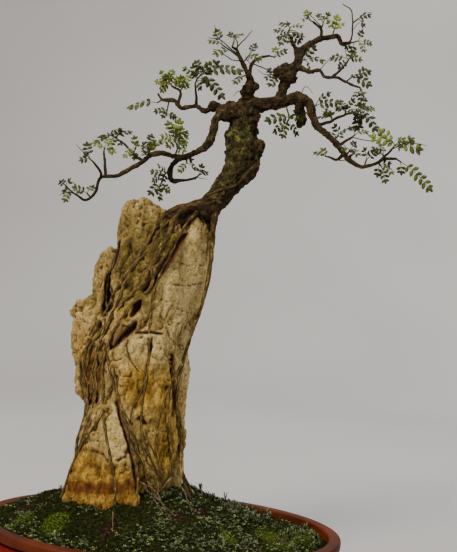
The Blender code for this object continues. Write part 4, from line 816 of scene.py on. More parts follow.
def leaflet_green(tree):
    """Small thin leaflets: matt olive to dark green, some young and yellower."""
    where = add_node(tree, "TexCoord", output="Object")
    tint = add_node(tree, "Attribute", output="Fac", attribute_name="tint")
    mottle = add_node(tree, "TexNoise", {"Vector": where, "Scale": per_mm(6), "Detail": 3.0})
    mixed = add_node(tree, "Math", {0: tint, 1: mottle}, operation="ADD")
    shade = add_node(tree, "MapRange", {"Value": mixed, "From Min": 0.35, "From Max": 1.5})
    green = add_node(
        tree, "ValToRGB", {"Fac": shade},
        stops=(
            (0.0, chosen("leaf", 0.08)), (0.35, chosen("leaf", 0.4)), (0.7, chosen("leaf", 1.5)),
            (1.0, chosen("leaf", 2.8)),
        ),
    )
    return {"Base Color": green, "Roughness": 0.6, "Specular IOR Level": 0.15}


def cushion_moss(tree):
    """Cushion moss over soil: dark green tips, brown where it thins out over bare earth."""
    where = add_node(tree, "TexCoord", output="Object")
    bare = add_node(tree, "Attribute", output="Fac", attribute_name="bare")
    bright = add_node(tree, "Attribute", output="Fac", attribute_name="bright")
    tufts = add_node(
        tree, "TexNoise", {"Vector": where, "Scale": per_mm(3.2), "Detail": 5.0, "Roughness": 0.7},
    )
    drift = add_node(tree, "TexNoise", {"Vector": where, "Scale": per_mm(20), "Detail": 4.0})
    dark = add_node(
        tree, "ValToRGB", {"Fac": tufts},
        stops=((0.34, chosen("moss", 0.15)), (0.5, chosen("moss")), (0.66, chosen("moss", 4.5))),
    )
    lush = add_node(
        tree, "ValToRGB", {"Fac": tufts}, stops=((0.34, "#141C06"), (0.5, "#31400D"), (0.66, "#6C7626")),
    )
    earth = add_node(
        tree, "ValToRGB", {"Fac": tufts}, stops=((0.34, "#080502"), (0.5, "#1B1108"), (0.68, "#45331D")),
    )
    shares = []
    for value, low, high in ((bright, 0.75, 1.2), (bare, 0.8, 1.15)):
        spread = add_node(tree, "Math", {0: value, 1: drift}, operation="ADD")
        shares.append(add_node(tree, "MapRange", {"Value": spread, "From Min": low, "From Max": high}))
    green = add_node(tree, "Mix", {0: shares[0], 6: dark, 7: lush}, output=2, data_type="RGBA")
    colour = add_node(tree, "Mix", {0: shares[1], 6: green, 7: earth}, output=2, data_type="RGBA")
    relief = add_node(tree, "Bump", {"Height": tufts, "Distance": 1.5 * MM, "Strength": 0.9})
    return {"Base Color": colour, "Roughness": 0.95, "Specular IOR Level": 0.08, "Normal": relief}


def weed_leaf(tree):
    """Tiny ground-cover leaves: dusty pale green, some grey and some bright."""
    tint = add_node(tree, "Attribute", output="Fac", attribute_name="tint")
    green = add_node(
        tree, "ValToRGB", {"Fac": tint},
        stops=(
            (0.0, chosen("weed", 0.12)), (0.4, chosen("weed", 0.4)), (0.8, chosen("weed")), (1.0, "#8F9A3E"),
        ),
    )
    return {"Base Color": green, "Roughness": 0.6, "Specular IOR Level": 0.2}


def backdrop_paper(tree):
    """Seamless matt paper, pale lavender-grey."""
    where = add_node(tree, "TexCoord", output="Object")
    cloud = add_node(tree, "TexNoise", {"Vector": where, "Scale": per_mm(900), "Detail": 1.0})
    tone = add_node(
        tree, "ValToRGB", {"Fac": cloud},
        stops=((0.35, chosen("paper", 0.96)), (0.65, chosen("paper", 1.04))),
    )
    return {"Base Color": tone, "Roughness": 0.95, "Specular IOR Level": 0.1}


class Shells:
    """Collects closed shells, in table millimetres, with their values, and makes them one piece."""

    def __init__(self):
        self.points = []
        self.faces = []
        self.values = {}

    def add(self, points, faces, **values):
        first = len(self.points)
        self.points.extend(tuple(point) for point in points)
        self.faces.extend(tuple(first + corner for corner in face) for face in faces)
        for name, value in values.items():
            each = value if hasattr(value, "__len__") else [value] * len(points)
            self.values.setdefault(name, []).extend(each)

    def build(self, name):
        """The shells as one object."""
        mesh = bpy.data.meshes.new(name)
        mesh.from_pydata([Vector(point) for point in to_frame(self.points)], [], self.faces)
        set_values(mesh, self.values)
        obj = bpy.data.objects.new(name, mesh)
        bpy.context.scene.collection.objects.link(obj)
        return obj

    def piece(self, name, material, slot, nodes=()):
        """The shells as one finished piece."""
        return dress(self.build(name), material, nodes)


def dress(obj, material, nodes=()):
    """Smooth shading, the finish, and the piece's place in the frame."""
    obj.data.shade_smooth()
    obj.data.materials.clear()
    obj.data.materials.append(material)
    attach(obj, BODY)
    if nodes:
        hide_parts(*nodes)
    return obj


def deselect():
    bpy.ops.object.select_all(action="DESELECT")


def pick(obj):
    deselect()
    obj.select_set(True)
    bpy.context.view_layer.objects.active = obj


def apply_modifier(obj, kind, **settings):
    """Adds a modifier, sets it and applies it."""
    pick(obj)
    modifier = obj.modifiers.new(kind.title(), kind)
    for key, value in settings.items():
        setattr(modifier, key, value)
    bpy.ops.object.modifier_apply(modifier=modifier.name)


def settle(obj, name):
    """Applies the object's place, so that it sits in the mesh alone."""
    pick(obj)
    bpy.ops.object.transform_apply(location=True, rotation=True, scale=True)
    obj.name = name
    obj.data.name = name
    return obj


def mound_height(x, y):
    """Height of the moss over a point of the mound."""
    across = (x - MOUND_CENTRE[0]) / MOUND_REACH[0]
    along = (y - MOUND_CENTRE[1]) / MOUND_REACH[1]
    fall = max(0.0, 1.0 - across * across - along * along)
    return MOUND_EDGE + MOUND_RISE * fall**MOUND_FALL


def patch_share(patches, x, y):
    """How far the point lies in any of the round patches, from 0 to 1."""
    return max(math.exp(-((x - px) ** 2 + (y - py) ** 2) / reach**2) for px, py, reach in patches)


def smooth_route(run, pitch):
    """Points every pitch millimetres on a smooth curve through (x, y, z, radius) points."""
    run = np.array(run, float)
    padded = np.vstack([2 * run[0] - run[1], run, 2 * run[-1] - run[-2]])
    stretches = []
    for i in range(1, len(padded) - 2):
        before, start, end, after = padded[i - 1:i + 3]
        steps = max(2, round(float(np.linalg.norm((end - start)[:3])) / pitch))
        t = (np.arange(steps) / steps)[:, None]
        stretches.append(0.5 * (
            2 * start + (end - before) * t + (2 * before - 5 * start + 4 * end - after) * t**2
            + (3 * start - before - 3 * end + after) * t**3
        ))
    return np.vstack([*stretches, run[-1:]])


def ring_faces(rings, sides, inward=False):
    """Faces between each ring of points and the next."""
    faces = []
    for i in range(rings - 1):
        for k in range(sides):
            here, beside = i * sides + k, i * sides + (k + 1) % sides
            face = (here, beside, beside + sides, here + sides)
            faces.append((here, here + sides, beside + sides, beside) if inward else face)
    return faces


def closed_faces(rings, sides, inward=False):
    """Faces between the rings, and round the two end points that follow the rings."""
    faces = ring_faces(rings, sides, inward)
    first, last, last_ring = rings * sides, rings * sides + 1, (rings - 1) * sides
    for k in range(sides):
        one, two = (k, (k + 1) % sides) if inward else ((k + 1) % sides, k)
        faces.append((first, one, two))
        faces.append((last, last_ring + two, last_ring + one))
    return faces


def woody_tube(shells, run, pitch, sides, furrow, draw, moss=None, wander=0.0):
    """A limb or root with bark furrows along it and swellings at its nodes."""
    path = smooth_route(run, pitch)
    centres, radii = path[:, :3].copy(), path[:, 3]
    steps = np.linalg.norm(np.diff(centres, axis=0), axis=1)
    arc = np.concatenate([[0.0], np.cumsum(steps)])
    seed = draw.uniform(0, 500)
    for i, run_length in enumerate(arc):
        fade = min(1.0, run_length / 12, (arc[-1] - run_length) / 12)
        shift = noise.noise_vector(Vector((seed, run_length / 14, 0)))
        centres[i] += np.array(shift) * wander * fade
    tangents = np.gradient(centres, axis=0)
    tangents /= np.linalg.norm(tangents, axis=1)[:, None]
    side = np.cross(tangents[0], (0.3, 1.0, 0.2))
    points, ridges, greens = [], [], []
    turns = 2 * math.pi * np.arange(sides) / sides
    for centre, tangent, radius, length in zip(centres, tangents, radii, arc):
        side = side - tangent * np.dot(side, tangent)
        side /= np.linalg.norm(side)
        up = np.cross(tangent, side)
        swell = 1 + 0.16 * noise.noise(Vector((seed, length / (radius * 2.4 + 3), 7)))
        for turn in turns:
            c, s = math.cos(turn), math.sin(turn)
            coarse = noise.noise(Vector((2.1 * c + seed, 2.1 * s, length / (radius * 1.6 + 5))))
            fine = noise.noise(Vector((4.6 * c, 4.6 * s + seed, length / (radius + 3))))
            ridge = 0.65 * coarse + 0.35 * fine
            reach = radius * swell * (1 + furrow * ridge)
            point = centre + (side * c + up * s) * reach
            points.append(point)
            ridges.append(0.5 + 0.9 * ridge)
            greens.append(moss(point, side * c + up * s) if moss else 0.0)
    ends = (centres[0] - tangents[0] * radii[0] * 0.5, centres[-1] + tangents[-1] * radii[-1] * 0.9)
    points.extend(ends)
    ridges.extend((0.5, 0.5))
    greens.extend((0.0, 0.0))
    shells.add(points, closed_faces(len(centres), sides), ridge=ridges, moss=greens)


def lump(shells, centre, radius, furrow, draw, moss=None):
    """A burl: a ball drawn in and out like bark, most of it sunk in the wood."""
    rings, sides = LUMP_RINGS, LUMP_SIDES
    seed = draw.uniform(0, 500)
    points, ridges, greens = [], [], []
    for i in range(1, rings):
        tilt = math.pi * i / rings
        for k in range(sides):
            turn = 2 * math.pi * k / sides
            ring = math.sin(tilt)
            out = Vector((ring * math.cos(turn), ring * math.sin(turn), math.cos(tilt)))
            ridge = noise.noise(out * 2.2 + Vector((seed, 0, 0)))
            ridge += 0.5 * noise.noise(out * 5 + Vector((0, seed, 0)))
            point = Vector(centre) + out * radius * (1 + furrow * ridge)
            points.append(point)
            ridges.append(0.5 + 0.7 * ridge)
            greens.append(moss(point, out) if moss else 0.0)
    points += [Vector(centre) + Vector((0, 0, radius)), Vector(centre) - Vector((0, 0, radius))]
    ridges += [0.5, 0.5]
    greens += [0.0, 0.0]
    shells.add(points, closed_faces(rings - 1, sides, inward=True), ridge=ridges, moss=greens)


def oval(inset):
    """Half axes, in metres, of the tray's oval at this inset in millimetres."""
    return (TRAY_HALF_LENGTH - inset) * MM, (TRAY_HALF_WIDTH - inset) * MM


def build_tray():
    """Extrudes the oval up the wall, over the lip and down inside, then adds feet and drains."""
    deselect()
    middle = (TRAY_X * MM, 0.0)
    bpy.ops.mesh.primitive_circle_add(
        vertices=TRAY_SIDES, radius=1.0, fill_type="NGON", location=(*middle, TRAY_SECTION[0][1] * MM),
    )
    tray = bpy.context.object
    tray.scale = (*oval(TRAY_SECTION[0][0]), 1.0)
    bpy.ops.object.transform_apply(location=True, rotation=True, scale=True)
    bpy.ops.object.mode_set(mode="EDIT")
    bpy.ops.mesh.select_all(action="SELECT")
    for (inset, height), (next_inset, next_height) in zip(TRAY_SECTION, TRAY_SECTION[1:]):
        here, there = oval(inset), oval(next_inset)
        bpy.ops.mesh.extrude_region_move(
            TRANSFORM_OT_translate={"value": (0.0, 0.0, (next_height - height) * MM)},
        )
        bpy.ops.transform.resize(
            value=(there[0] / here[0], there[1] / here[1], 1.0),
            center_override=(*middle, next_height * MM),
        )
    bpy.ops.mesh.select_all(action="SELECT")
    bpy.ops.mesh.normals_make_consistent(inside=False)
    bpy.ops.object.mode_set(mode="OBJECT")
    for x, y in FOOT_PLACES:
        bpy.ops.mesh.primitive_cone_add(
            vertices=ROUND_SIDES, radius1=FOOT_BASE_RADIUS * MM, radius2=FOOT_TOP_RADIUS * MM,
            depth=FOOT_HEIGHT * MM, location=((x + TRAY_X) * MM, y * MM, FOOT_HEIGHT / 2 * MM),
        )
        foot = bpy.context.object
        settle(foot, "foot")
        apply_modifier(foot, "BEVEL", width=FOOT_BEVEL * MM, segments=3, angle_limit=math.radians(50))
        cut(tray, foot, "UNION")
    for x in DRAIN_PLACES:
        bpy.ops.mesh.primitive_cylinder_add(
            vertices=ROUND_SIDES, radius=DRAIN_RADIUS * MM, depth=DRAIN_CUT_LENGTH * MM,
            location=((x + TRAY_X) * MM, 0.0, DRAIN_CUT_MIDDLE * MM),
        )
        drain = bpy.context.object
        settle(drain, "drain")
        cut(tray, drain, "DIFFERENCE")
    settle(tray, "tray")
    dress(tray, make_material("Stoneware, fired unglazed", unglazed_stoneware), ("pot",))
    pick(tray)
    bpy.ops.object.shade_smooth_by_angle(angle=math.radians(38))


def cut(obj, other, operation):
    """Joins or cuts with another closed shape, which is then gone."""
    apply_modifier(obj, "BOOLEAN", object=other, operation=operation, solver="EXACT")
    bpy.data.meshes.remove(other.data)


def build_screens():
    """Squares of moulded mesh over the drain holes."""
    finish = make_material("Polyethylene, moulded mesh", screen_plastic)
    for node in ("drain_screen_left", "drain_screen_right"):
        low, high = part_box(node)
        middle, size = (low + high) / 2, high - low
        deselect()
        bpy.ops.mesh.primitive_grid_add(
            x_subdivisions=SCREEN_CELLS, y_subdivisions=SCREEN_CELLS, size=1.0, location=middle,
        )
        screen = bpy.context.object
        screen.scale = (size.x - size.z, size.y - size.z, 1.0)
        settle(screen, node.replace("drain_", "mesh_"))
        apply_modifier(screen, "WIREFRAME", thickness=size.z * 0.95, use_even_offset=False)
        dress(screen, finish, (node,))


def give_soil_finish():
    """The soil's shape is right in the frame, so it only gets its finish."""
    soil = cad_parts["soil"]
    soil.data.materials.clear()
    soil.data.materials.append(make_material("Potting soil, damp and granular", damp_soil))


def mesh_arrays(mesh):
    """Points, their normals and the pairs of points that the edges join."""
    spots, normals = np.empty(len(mesh.vertices) * 3), np.empty(len(mesh.vertices) * 3)
    mesh.vertices.foreach_get("co", spots)
    mesh.vertex_normals.foreach_get("vector", normals)
    pairs = np.empty(len(mesh.edges) * 2, np.int32)
    mesh.edges.foreach_get("vertices", pairs)
    return spots.reshape(-1, 3), normals.reshape(-1, 3), pairs.reshape(-1, 2)


def set_values(mesh, values):
    """Stores a number for each point, under each name."""
    for name, each in values.items():
        attribute = mesh.attributes.new(name, "FLOAT", "POINT")
        attribute.data.foreach_set("value", np.array(each, np.float32))


def crack_depth(x, z):
    """How deep the drawn cracks cut the stone's front at this place."""
    deepest = 0.0
    for depth, run in STONE_CRACKS.values():
        for (ax, az, wide), (bx, bz, next_wide) in zip(run, run[1:]):
            along = ((x - ax) * (bx - ax) + (z - az) * (bz - az)) / ((bx - ax) ** 2 + (bz - az) ** 2)
            along = min(1.0, max(0.0, along))
            reach = wide + (next_wide - wide) * along
            away = math.hypot(x - ax - (bx - ax) * along, z - az - (bz - az) * along)
            if away < 3 * reach:
                deepest = max(deepest, depth * math.exp(-((away / (reach * 0.9)) ** 2)))
    return deepest


def place_share(places, x, z):
    """How strongly the places cover this spot of the stone's front."""
    return max(
        strength * math.exp(-(((x - px) / wide) ** 2) - ((z - pz) / tall) ** 2)
        for px, pz, wide, tall, strength in places
    )


def relief_of_stone(point, normal):
    """How far weather left a point of the stone standing out, in millimetres."""
    x, y, z = point
    place = Vector((x, y, z))
    wide, tall = CRAG_SIZE
    drawn = Vector((x / wide, y / wide, z / tall))
    crag = noise.ridged_multi_fractal(drawn, 0.8, 2.2, 4, 1.0, 2.0) - 1.2
    wide, tall = PIT_SIZE
    pits = noise.fractal(Vector((x / wide, y / wide + 90, z / tall)), 0.7, 2.2, 3)
    wide, tall = FACET_SIZE
    warped = Vector((x / wide, y / wide, z / tall)) + 0.5 * noise.noise_vector(place / 16)
    (nearest, second, *_), (cell, *_) = noise.voronoi(warped)
    facet = noise.noise_vector(cell * 5.3).dot(warped - cell)
    joint = math.exp(-(((second - nearest) / 0.09) ** 2))
    calm = 1 - 0.85 * min(1.0, place_share(SMOOTH_PLACES, x, z))
    relief = CRAG_HEIGHT * crag + FACET_HEIGHT * facet - JOINT_DEPTH * joint + PIT_DEPTH * pits
    swell = sum(
        high * math.exp(-(place - Vector(middle)).length_squared / reach**2)
        for *middle, reach, high in STONE_SWELLS
    )
    facing = min(1.0, max(0.0, -1.6 * normal[1]))
    return relief * calm + swell - facing * crack_depth(x, z)


def settled_neighbours(values, pairs, count, passes):
    """Values on the mesh after this many passes of averaging with what each point touches."""
    shared = np.bincount(pairs.ravel(), minlength=count).astype(float)
    for _ in range(passes):
        total = np.zeros_like(values)
        np.add.at(total, pairs[:, 0], values[pairs[:, 1]])
        np.add.at(total, pairs[:, 1], values[pairs[:, 0]])
        values = 0.5 * values + 0.5 * total / shared[:, None]
    return values


def build_stone():
    """A remeshed copy of the stone's solid, drawn in and out by weather, with its stains and painted shade in
    its hollows and cracks.
    """
    noise.seed_set(NOISE_SEED)
    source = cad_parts["rock"]
    deselect()
    stone = bpy.data.objects.new("stone", source.data.copy())
    bpy.context.scene.collection.objects.link(stone)
    pick(stone)
    bpy.ops.object.mode_set(mode="EDIT")
    bpy.ops.mesh.select_all(action="SELECT")
    bpy.ops.mesh.remove_doubles(threshold=0.01 * MM)
    bpy.ops.object.mode_set(mode="OBJECT")
    grain = bpy.context.scene.bonsai_sizes.stone_grain
    apply_modifier(stone, "REMESH", mode="VOXEL", voxel_size=grain)
    apply_modifier(stone, "SMOOTH", factor=0.6, iterations=8)
    mesh = stone.data
    spots, normals, pairs = mesh_arrays(mesh)
    count = len(spots)
    table = to_table(spots)
    relief = np.array([relief_of_stone(point, normal) for point, normal in zip(table, normals)])
    moved = spots + normals * relief[:, None] * MM
    moved = settled_neighbours(moved, pairs, count, 1)
    mesh.vertices.foreach_set("co", moved.ravel())
    mesh.update()
    # Painted shade: each point sunk below its smoothed neighbours is darkened by the finish.
    hollow = np.zeros(count)
    for passes, depth in ((4, 0.5), (30, 1.8)):
        calm = settled_neighbours(moved, pairs, count, passes)
        sunk = ((calm - moved) * normals).sum(axis=1) / MM
        hollow = np.maximum(hollow, sunk / depth - 0.3)
    # Painted shade: the drawn cracks on the front are darkened by the finish.
    carved = np.array([crack_depth(x, z) for x, _, z in table]) * (normals[:, 1] < -0.1)
    set_values(mesh, {
        "hollow": np.clip(hollow, 0.0, 1.0),
        "cleft": np.clip(carved / 5, 0.0, 1.0),
        **{name: [place_share(places, x, z) for x, _, z in table] for name, places in STAINS.items()},
    })
    dress(stone, make_material("Limestone, rain-worn", weathered_stone), ("rock",))


def green_of_trunk(point, out):
    """Moss on the trunk: thick under the crown, a film further down."""
    x, _, z = point
    collar = 0.66 * math.exp(-(((x - 60) / 26) ** 2) - ((z - 606) / 17) ** 2)
    film = 0.38 * math.exp(-(((x - 48) / 42) ** 2) - ((z - 562) / 56) ** 2)
    return max(collar, film) + 0.1 * max(0.0, out[2])


def split_run(run, least):
    """A limb's run parted where it grows thinner than the least radius."""
    stout = sum(1 for step in run if step[3] >= least)
    return run[:stout + 1], run[max(0, stout - 1):]


def bark_relief(point, along):
    """How far the bark of a limb this way along stands out here, from about -1 to 1."""
    drawn = point - along * point.dot(along) * 0.72
    plates = noise.ridged_multi_fractal(drawn / 4.2, 0.8, 2.2, 3, 1.0, 2.0) - 1.1
    lumps = noise.noise(point / 8 + Vector((30, 0, 0)))
    return 0.7 * plates + 0.9 * lumps


def build_trunk_and_limbs():
    """The trunk, stout limbs and burls run into one another, then the thin limbs and twigs."""
    noise.seed_set(NOISE_SEED)
    draw = random.Random(11)
    stout, thin = Shells(), Shells()
    spine, wood_points = [], []
    for run in LIMBS.values():
        thick, rest = split_run(run, LEAST_REMESHED)
        if len(thick) > 2:
            woody_tube(stout, thick, 3.0, 24, 0.08, draw, wander=0.8)
            spine += [tuple(step) for step in smooth_route(thick, 4.0)]
        else:
            rest = run
        if len(rest) > 1:
            woody_tube(thin, rest, 2.2, 10, 0.28, draw, wander=1.6)
        wood_points += [tuple(step[:3]) for step in smooth_route(run, 3.0)]
    for radius, run in BARE_TWIGS.values():
        x, y, z = min(wood_points, key=lambda at: math.hypot(at[0] - run[0][0], at[2] - run[0][1]))
        last = len(run) - 1
        grown = [(x, y, z, radius)] + [
            (px, y - 3.0 * i, pz, radius * (1 - 0.5 * i / last)) for i, (px, pz) in enumerate(run) if i
        ]
        woody_tube(thin, grown, 2.2, 6, 0.15, draw, wander=1.2)
        wood_points += [step[:3] for step in grown]
    for run in ROOT_FILL:
        woody_tube(stout, run, 3.0, 20, 0.15, draw, wander=1.0)
        spine += [tuple(step) for step in smooth_route(run, 4.0)]
    for x, y, z, radius in (*KNOBS, *BURLS):
        lump(stout, (x, y, z), radius, 0.3, draw)
    for x, y, z, radius in spine[::2]:
        aside = Vector((draw.gauss(0, 1), draw.gauss(0, 1), draw.gauss(0, 1))).normalized()
        size = min(4.6, radius * draw.uniform(0.4, 0.65))
        lump(stout, Vector((x, y, z)) + aside * (radius - size * 0.5), size, 0.35, draw)
    wood = stout.build("trunk_and_limbs")
    apply_modifier(wood, "REMESH", mode="VOXEL", voxel_size=bpy.context.scene.bonsai_sizes.bark_grain)
    apply_modifier(wood, "SMOOTH", factor=0.5, iterations=3)
    spots, normals, _ = mesh_arrays(wood.data)
    table = [Vector(point) for point in to_table(spots)]
    middles = KDTree(len(spine))
    for i, step in enumerate(spine):
        middles.insert(step[:3], i)
    middles.balance()
    moved, ridge, moss = spots.copy(), [], []
    for i, point in enumerate(table):
        _, near, _ = middles.find(point)
        ahead = Vector(spine[min(near + 1, len(spine) - 1)][:3]) - Vector(spine[max(0, near - 1)][:3])
        relief = bark_relief(point, ahead.normalized())
        moved[i] += normals[i] * relief * min(3.0, 0.16 * spine[near][3] + 1.0) * MM
        ridge.append(0.5 + 0.5 * relief)
        moss.append(green_of_trunk(point, normals[i]))
    wood.data.vertices.foreach_set("co", moved.ravel())
    wood.data.update()
    set_values(wood.data, {"ridge": ridge, "moss": moss})
    finish = make_material("Old bark, furrowed", furrowed_bark)
    dress(wood, finish, ("tree",))
    thin.piece("twigs", finish, "bark", ("tree",))


def surface_of(name):
    """The surface of a finished piece, in table millimetres, to lay others on."""
    mesh = bpy.data.objects[name].data
    return BVHTree.FromPolygons(
        [Vector(point) for point in to_table([v.co for v in mesh.vertices])],
        [tuple(face.vertices) for face in mesh.polygons],
    )


def drape(run, side, surface):
    """Lays (x, z, radius) points on the stone's front (-1) or back (+1)."""
    depths = []
    for x, z, radius in run:
        hit = surface.ray_cast(Vector((x, side * 300, z)), Vector((0, -side, 0)))[0]
        if hit is None:
            hit = surface.find_nearest(Vector((x, side * 20, z)))[0]
        depths.append(side * hit.y + radius * 0.3)
    depths = np.array(depths)
    taut = depths.copy()
    for _ in range(9):
        taut[1:-1] = 0.25 * taut[:-2] + 0.5 * taut[1:-1] + 0.25 * taut[2:]
    held = np.maximum(depths, taut)
    for _ in range(3):
        held[1:-1] = 0.25 * held[:-2] + 0.5 * held[1:-1] + 0.25 * held[2:]
    return [(x, side * depth, z, radius) for (x, z, radius), depth in zip(run, held)]


def root_route(run, side, surface):
    """A root's points every 5 mm along its run, laid on the stone."""
    flat = smooth_route([(x, z, radius, 0.0) for x, z, radius in run], 5.0)[:, :3]
    return drape([tuple(step) for step in flat], side, surface)


def build_roots():
    """The roots over the stone, thick ones first and then the mat of fine ones beside them."""
    noise.seed_set(NOISE_SEED)
    surface = surface_of("stone")
    draw = random.Random(23)
    finish = make_material("Aerial root, skinned and sun-dried", bare_root)
    thick, fine = Shells(), Shells()
    for name, (side, run) in ROOTS.items():
        slim = [(x, z, 1.1 + (radius - 1.1) * ROOT_SLIMMING) for x, z, radius in run]
        laid = root_route(slim, side, surface)
        crest = [(x, y, z, radius * ROOT_SLIMMING) for x, y, z, radius in ROOT_CRESTS.get(name, ())]
        woody_tube(thick, [*crest, *laid[::2]], 2.0, 16, 0.22, draw, wander=0.9)
    sinew = root_route(SINEW, -1, surface_of("trunk_and_limbs"))
    woody_tube(thick, sinew[::2], 2.0, 12, 0.2, draw, lambda point, out: 0.55, wander=0.9)
    for radius, run in FINE_ROOTS.values():
        last = len(run) - 1
        tapered = [
            (x, z, radius * (0.7 + 0.3 * math.sin(math.pi * i / last))) for i, (x, z) in enumerate(run)
        ]
        laid = root_route(tapered, -1, surface)
        woody_tube(fine, laid[::2], 2.4, 10, 0.2, draw, wander=1.0)
    for run in ROOTLETS:
        hung = [(x, y, moss_height(x, y) + up, 0.8 - 0.12 * i) for i, (x, y, up) in enumerate(run)]
        woody_tube(fine, hung, 3.0, 8, 0.15, draw, lambda point, out: 0.6, wander=2.8)
    thick.piece("roots", finish, "bark", ("tree",))
    fine.piece("fine_roots", finish, "bark", ("tree",))


def leaflet(shells, foot, ahead, across, up, length, width, droop, tint):
    """A thin closed oval leaflet, folded a little along its middle."""
    points = []
    for share, wide in LEAFLET_ROWS:
        sag = -droop * length * share * share
        middle = foot + ahead * length * share + up * sag
        half = across * width * 0.5 * wide
        points += [middle + half + up * 0.3, middle - half + up * 0.3]
        points += [middle + up * 0.12, middle - up * 0.18]
    faces = []
    for i in range(len(LEAFLET_ROWS) - 1):
        low, high = 4 * i, 4 * i + 4
        faces += [
            (low, low + 2, high + 2, high), (low + 2, low + 1, high + 1, high + 2),
            (low + 1, low + 3, high + 3, high + 1), (low + 3, low, high, high + 3),
        ]
    faces += [(0, 3, 1, 2), (16, 18, 17, 19)]
    shells.add(points, faces, tint=tint)


def stem(shells, run, sides, tint):
    """A thin smooth stalk through (x, y, z, radius) points."""
    points = []
    run = smooth_route(run, 3.0)
    tangents = np.gradient(run[:, :3], axis=0)
    side = np.cross(tangents[0], (0.31, 0.9, 0.2))
    for (x, y, z, radius), tangent in zip(run, tangents):
        tangent = tangent / np.linalg.norm(tangent)
        side = side - tangent * np.dot(side, tangent)
        side /= np.linalg.norm(side)
        up = np.cross(tangent, side)
        for k in range(sides):
            turn = 2 * math.pi * k / sides
            points.append(np.array((x, y, z)) + (side * math.cos(turn) + up * math.sin(turn)) * radius)
    faces = ring_faces(len(run), sides)
    faces.append(tuple(reversed(range(sides))))
    faces.append(tuple((len(run) - 1) * sides + k for k in range(sides)))
    shells.add(points, faces, tint=tint)


def leaf(shells, base, tip, facing, draw, tint):
    """An arched feathery leaf: a rib, pairs of leaflets along it and one at its tip."""
    along = tip - base
    length = along.length
    ahead = along.normalized()
    across = facing.cross(ahead).normalized()
    up = ahead.cross(across).normalized()
    size = min(LEAFLET_MOST, max(LEAFLET_LEAST, LEAFLET_SHARE * length)) * draw.uniform(0.92, 1.08)
    pitch = size * LEAFLET_PITCH
    end = length - size * 0.95
    pairs = max(2, int((end - 4) / pitch))
    rise = up * 4 * LEAF_ARCH * length
    ribs = [base + ahead * (end * t) + rise * t * (1 - t) for t in np.linspace(0, 1, 6)]
    stem(shells, [(*point, 0.55 - 0.04 * i) for i, point in enumerate(ribs)], 5, tint)
    for i in range(pairs + 1):
        run = end - pitch * (pairs - i)
        if run < 3:
            continue
        share = run / end
        foot = base + ahead * run + rise * share * (1 - share)
        full = size * (0.72 + 0.3 * math.sin(math.pi * (i + 0.8) / (pairs + 1.6)))
        for way in (-1, 1):
            lean = math.radians(draw.uniform(50, 68))
            out = ahead * math.cos(lean) + across * way * math.sin(lean)
            tilt = draw.uniform(-0.35, 0.2)
            out = (out + up * tilt).normalized()
            blade_up = (up - out * up.dot(out)).normalized()
            side = out.cross(blade_up)
            shade = tint + draw.uniform(-0.12, 0.12)
            leaflet(
                shells, foot + out * 0.4, out, side, blade_up, full * draw.uniform(0.9, 1.08),
                full * LEAFLET_WIDTH, draw.uniform(0.05, 0.3), shade,
            )
    foot = base + ahead * end
    leaflet(shells, foot, ahead, across, up, size, size * 0.55, 0.15, tint)


def leaf_facing(draw):
    """The way a leaf's upper side looks: up and to the front, a little to either side."""
    turned = Vector((0.0, -0.85, 0.5))
    turned += Vector((draw.uniform(-0.45, 0.45), draw.uniform(-0.3, 0.3), draw.uniform(-0.25, 0.25)))
    return turned.normalized()


def build_leaves():
    """A piece for each leafy shoot, with every leaf where the frame has it."""
    finish = make_material("Feathery leaf, thin and matt", leaflet_green)
    for node in SPRAY_NODES:
        name = node[len("spray_"):]
        points, leaves = SPRAYS[name]
        shells = Shells()
        shade = random.Random(node)
        base_tint = 0.8 if "bright" in name else shade.uniform(0.15, 0.5)
        run = [(*point, 1.15 - 0.25 * i / len(points)) for i, point in enumerate(points)]
        stem(shells, run, 7, base_tint * 0.5)
        for i, (index, tip) in enumerate(leaves):
            draw = random.Random(f"{name} {i}")
            facing = leaf_facing(draw)
            tint = base_tint + draw.uniform(-0.15, 0.15)
            leaf(shells, Vector(points[index]), Vector(tip), facing, draw, tint)
            share = bpy.context.scene.bonsai_sizes.more_leaves
            for _ in range(FULLER_SHOOTS.get(name, int(draw.random() < share))):
                foot = Vector(points[index]).lerp(Vector(points[index - 1]), draw.uniform(0.1, 0.7))
                out = Vector(tip) - Vector(points[index])
                turn = Matrix.Rotation(draw.choice((-1, 1)) * draw.uniform(0.3, 0.95), 3, "Y")
                beside = foot + turn @ out * draw.uniform(0.6, 0.9)
                beside.y += draw.uniform(-9, 9)
                leaf(shells, foot, beside, leaf_facing(draw), draw, tint - draw.uniform(-0.05, 0.2))
        shells.piece("leaves_" + name, finish, "leaf", (node,))


def moss_height(x, y):
    """Height of the moss cushion over this point, with its humps and fine unevenness."""
    bump = MOSS_RELIEF * noise.noise(Vector((x, y, 0)) / 26.0)
    fine = 2.2 * noise.noise(Vector((x, y, 9)) / 9.0) + 1.0 * noise.noise(Vector((x, y, 30)) / 3.6)
    return mound_height(x, y) + bump + fine


def mound_spot(share, turn):
    """The (x, y) at this share of the way from the mound's centre to the tray's wall."""
    wall_x = (TRAY_HALF_LENGTH - MOUND_INSET) * math.cos(turn)
    wall_y = (TRAY_HALF_WIDTH - MOUND_INSET) * math.sin(turn)
    return (
        MOUND_CENTRE[0] + share * (wall_x - MOUND_CENTRE[0]),
        MOUND_CENTRE[1] + share * (wall_y - MOUND_CENTRE[1]),
    )


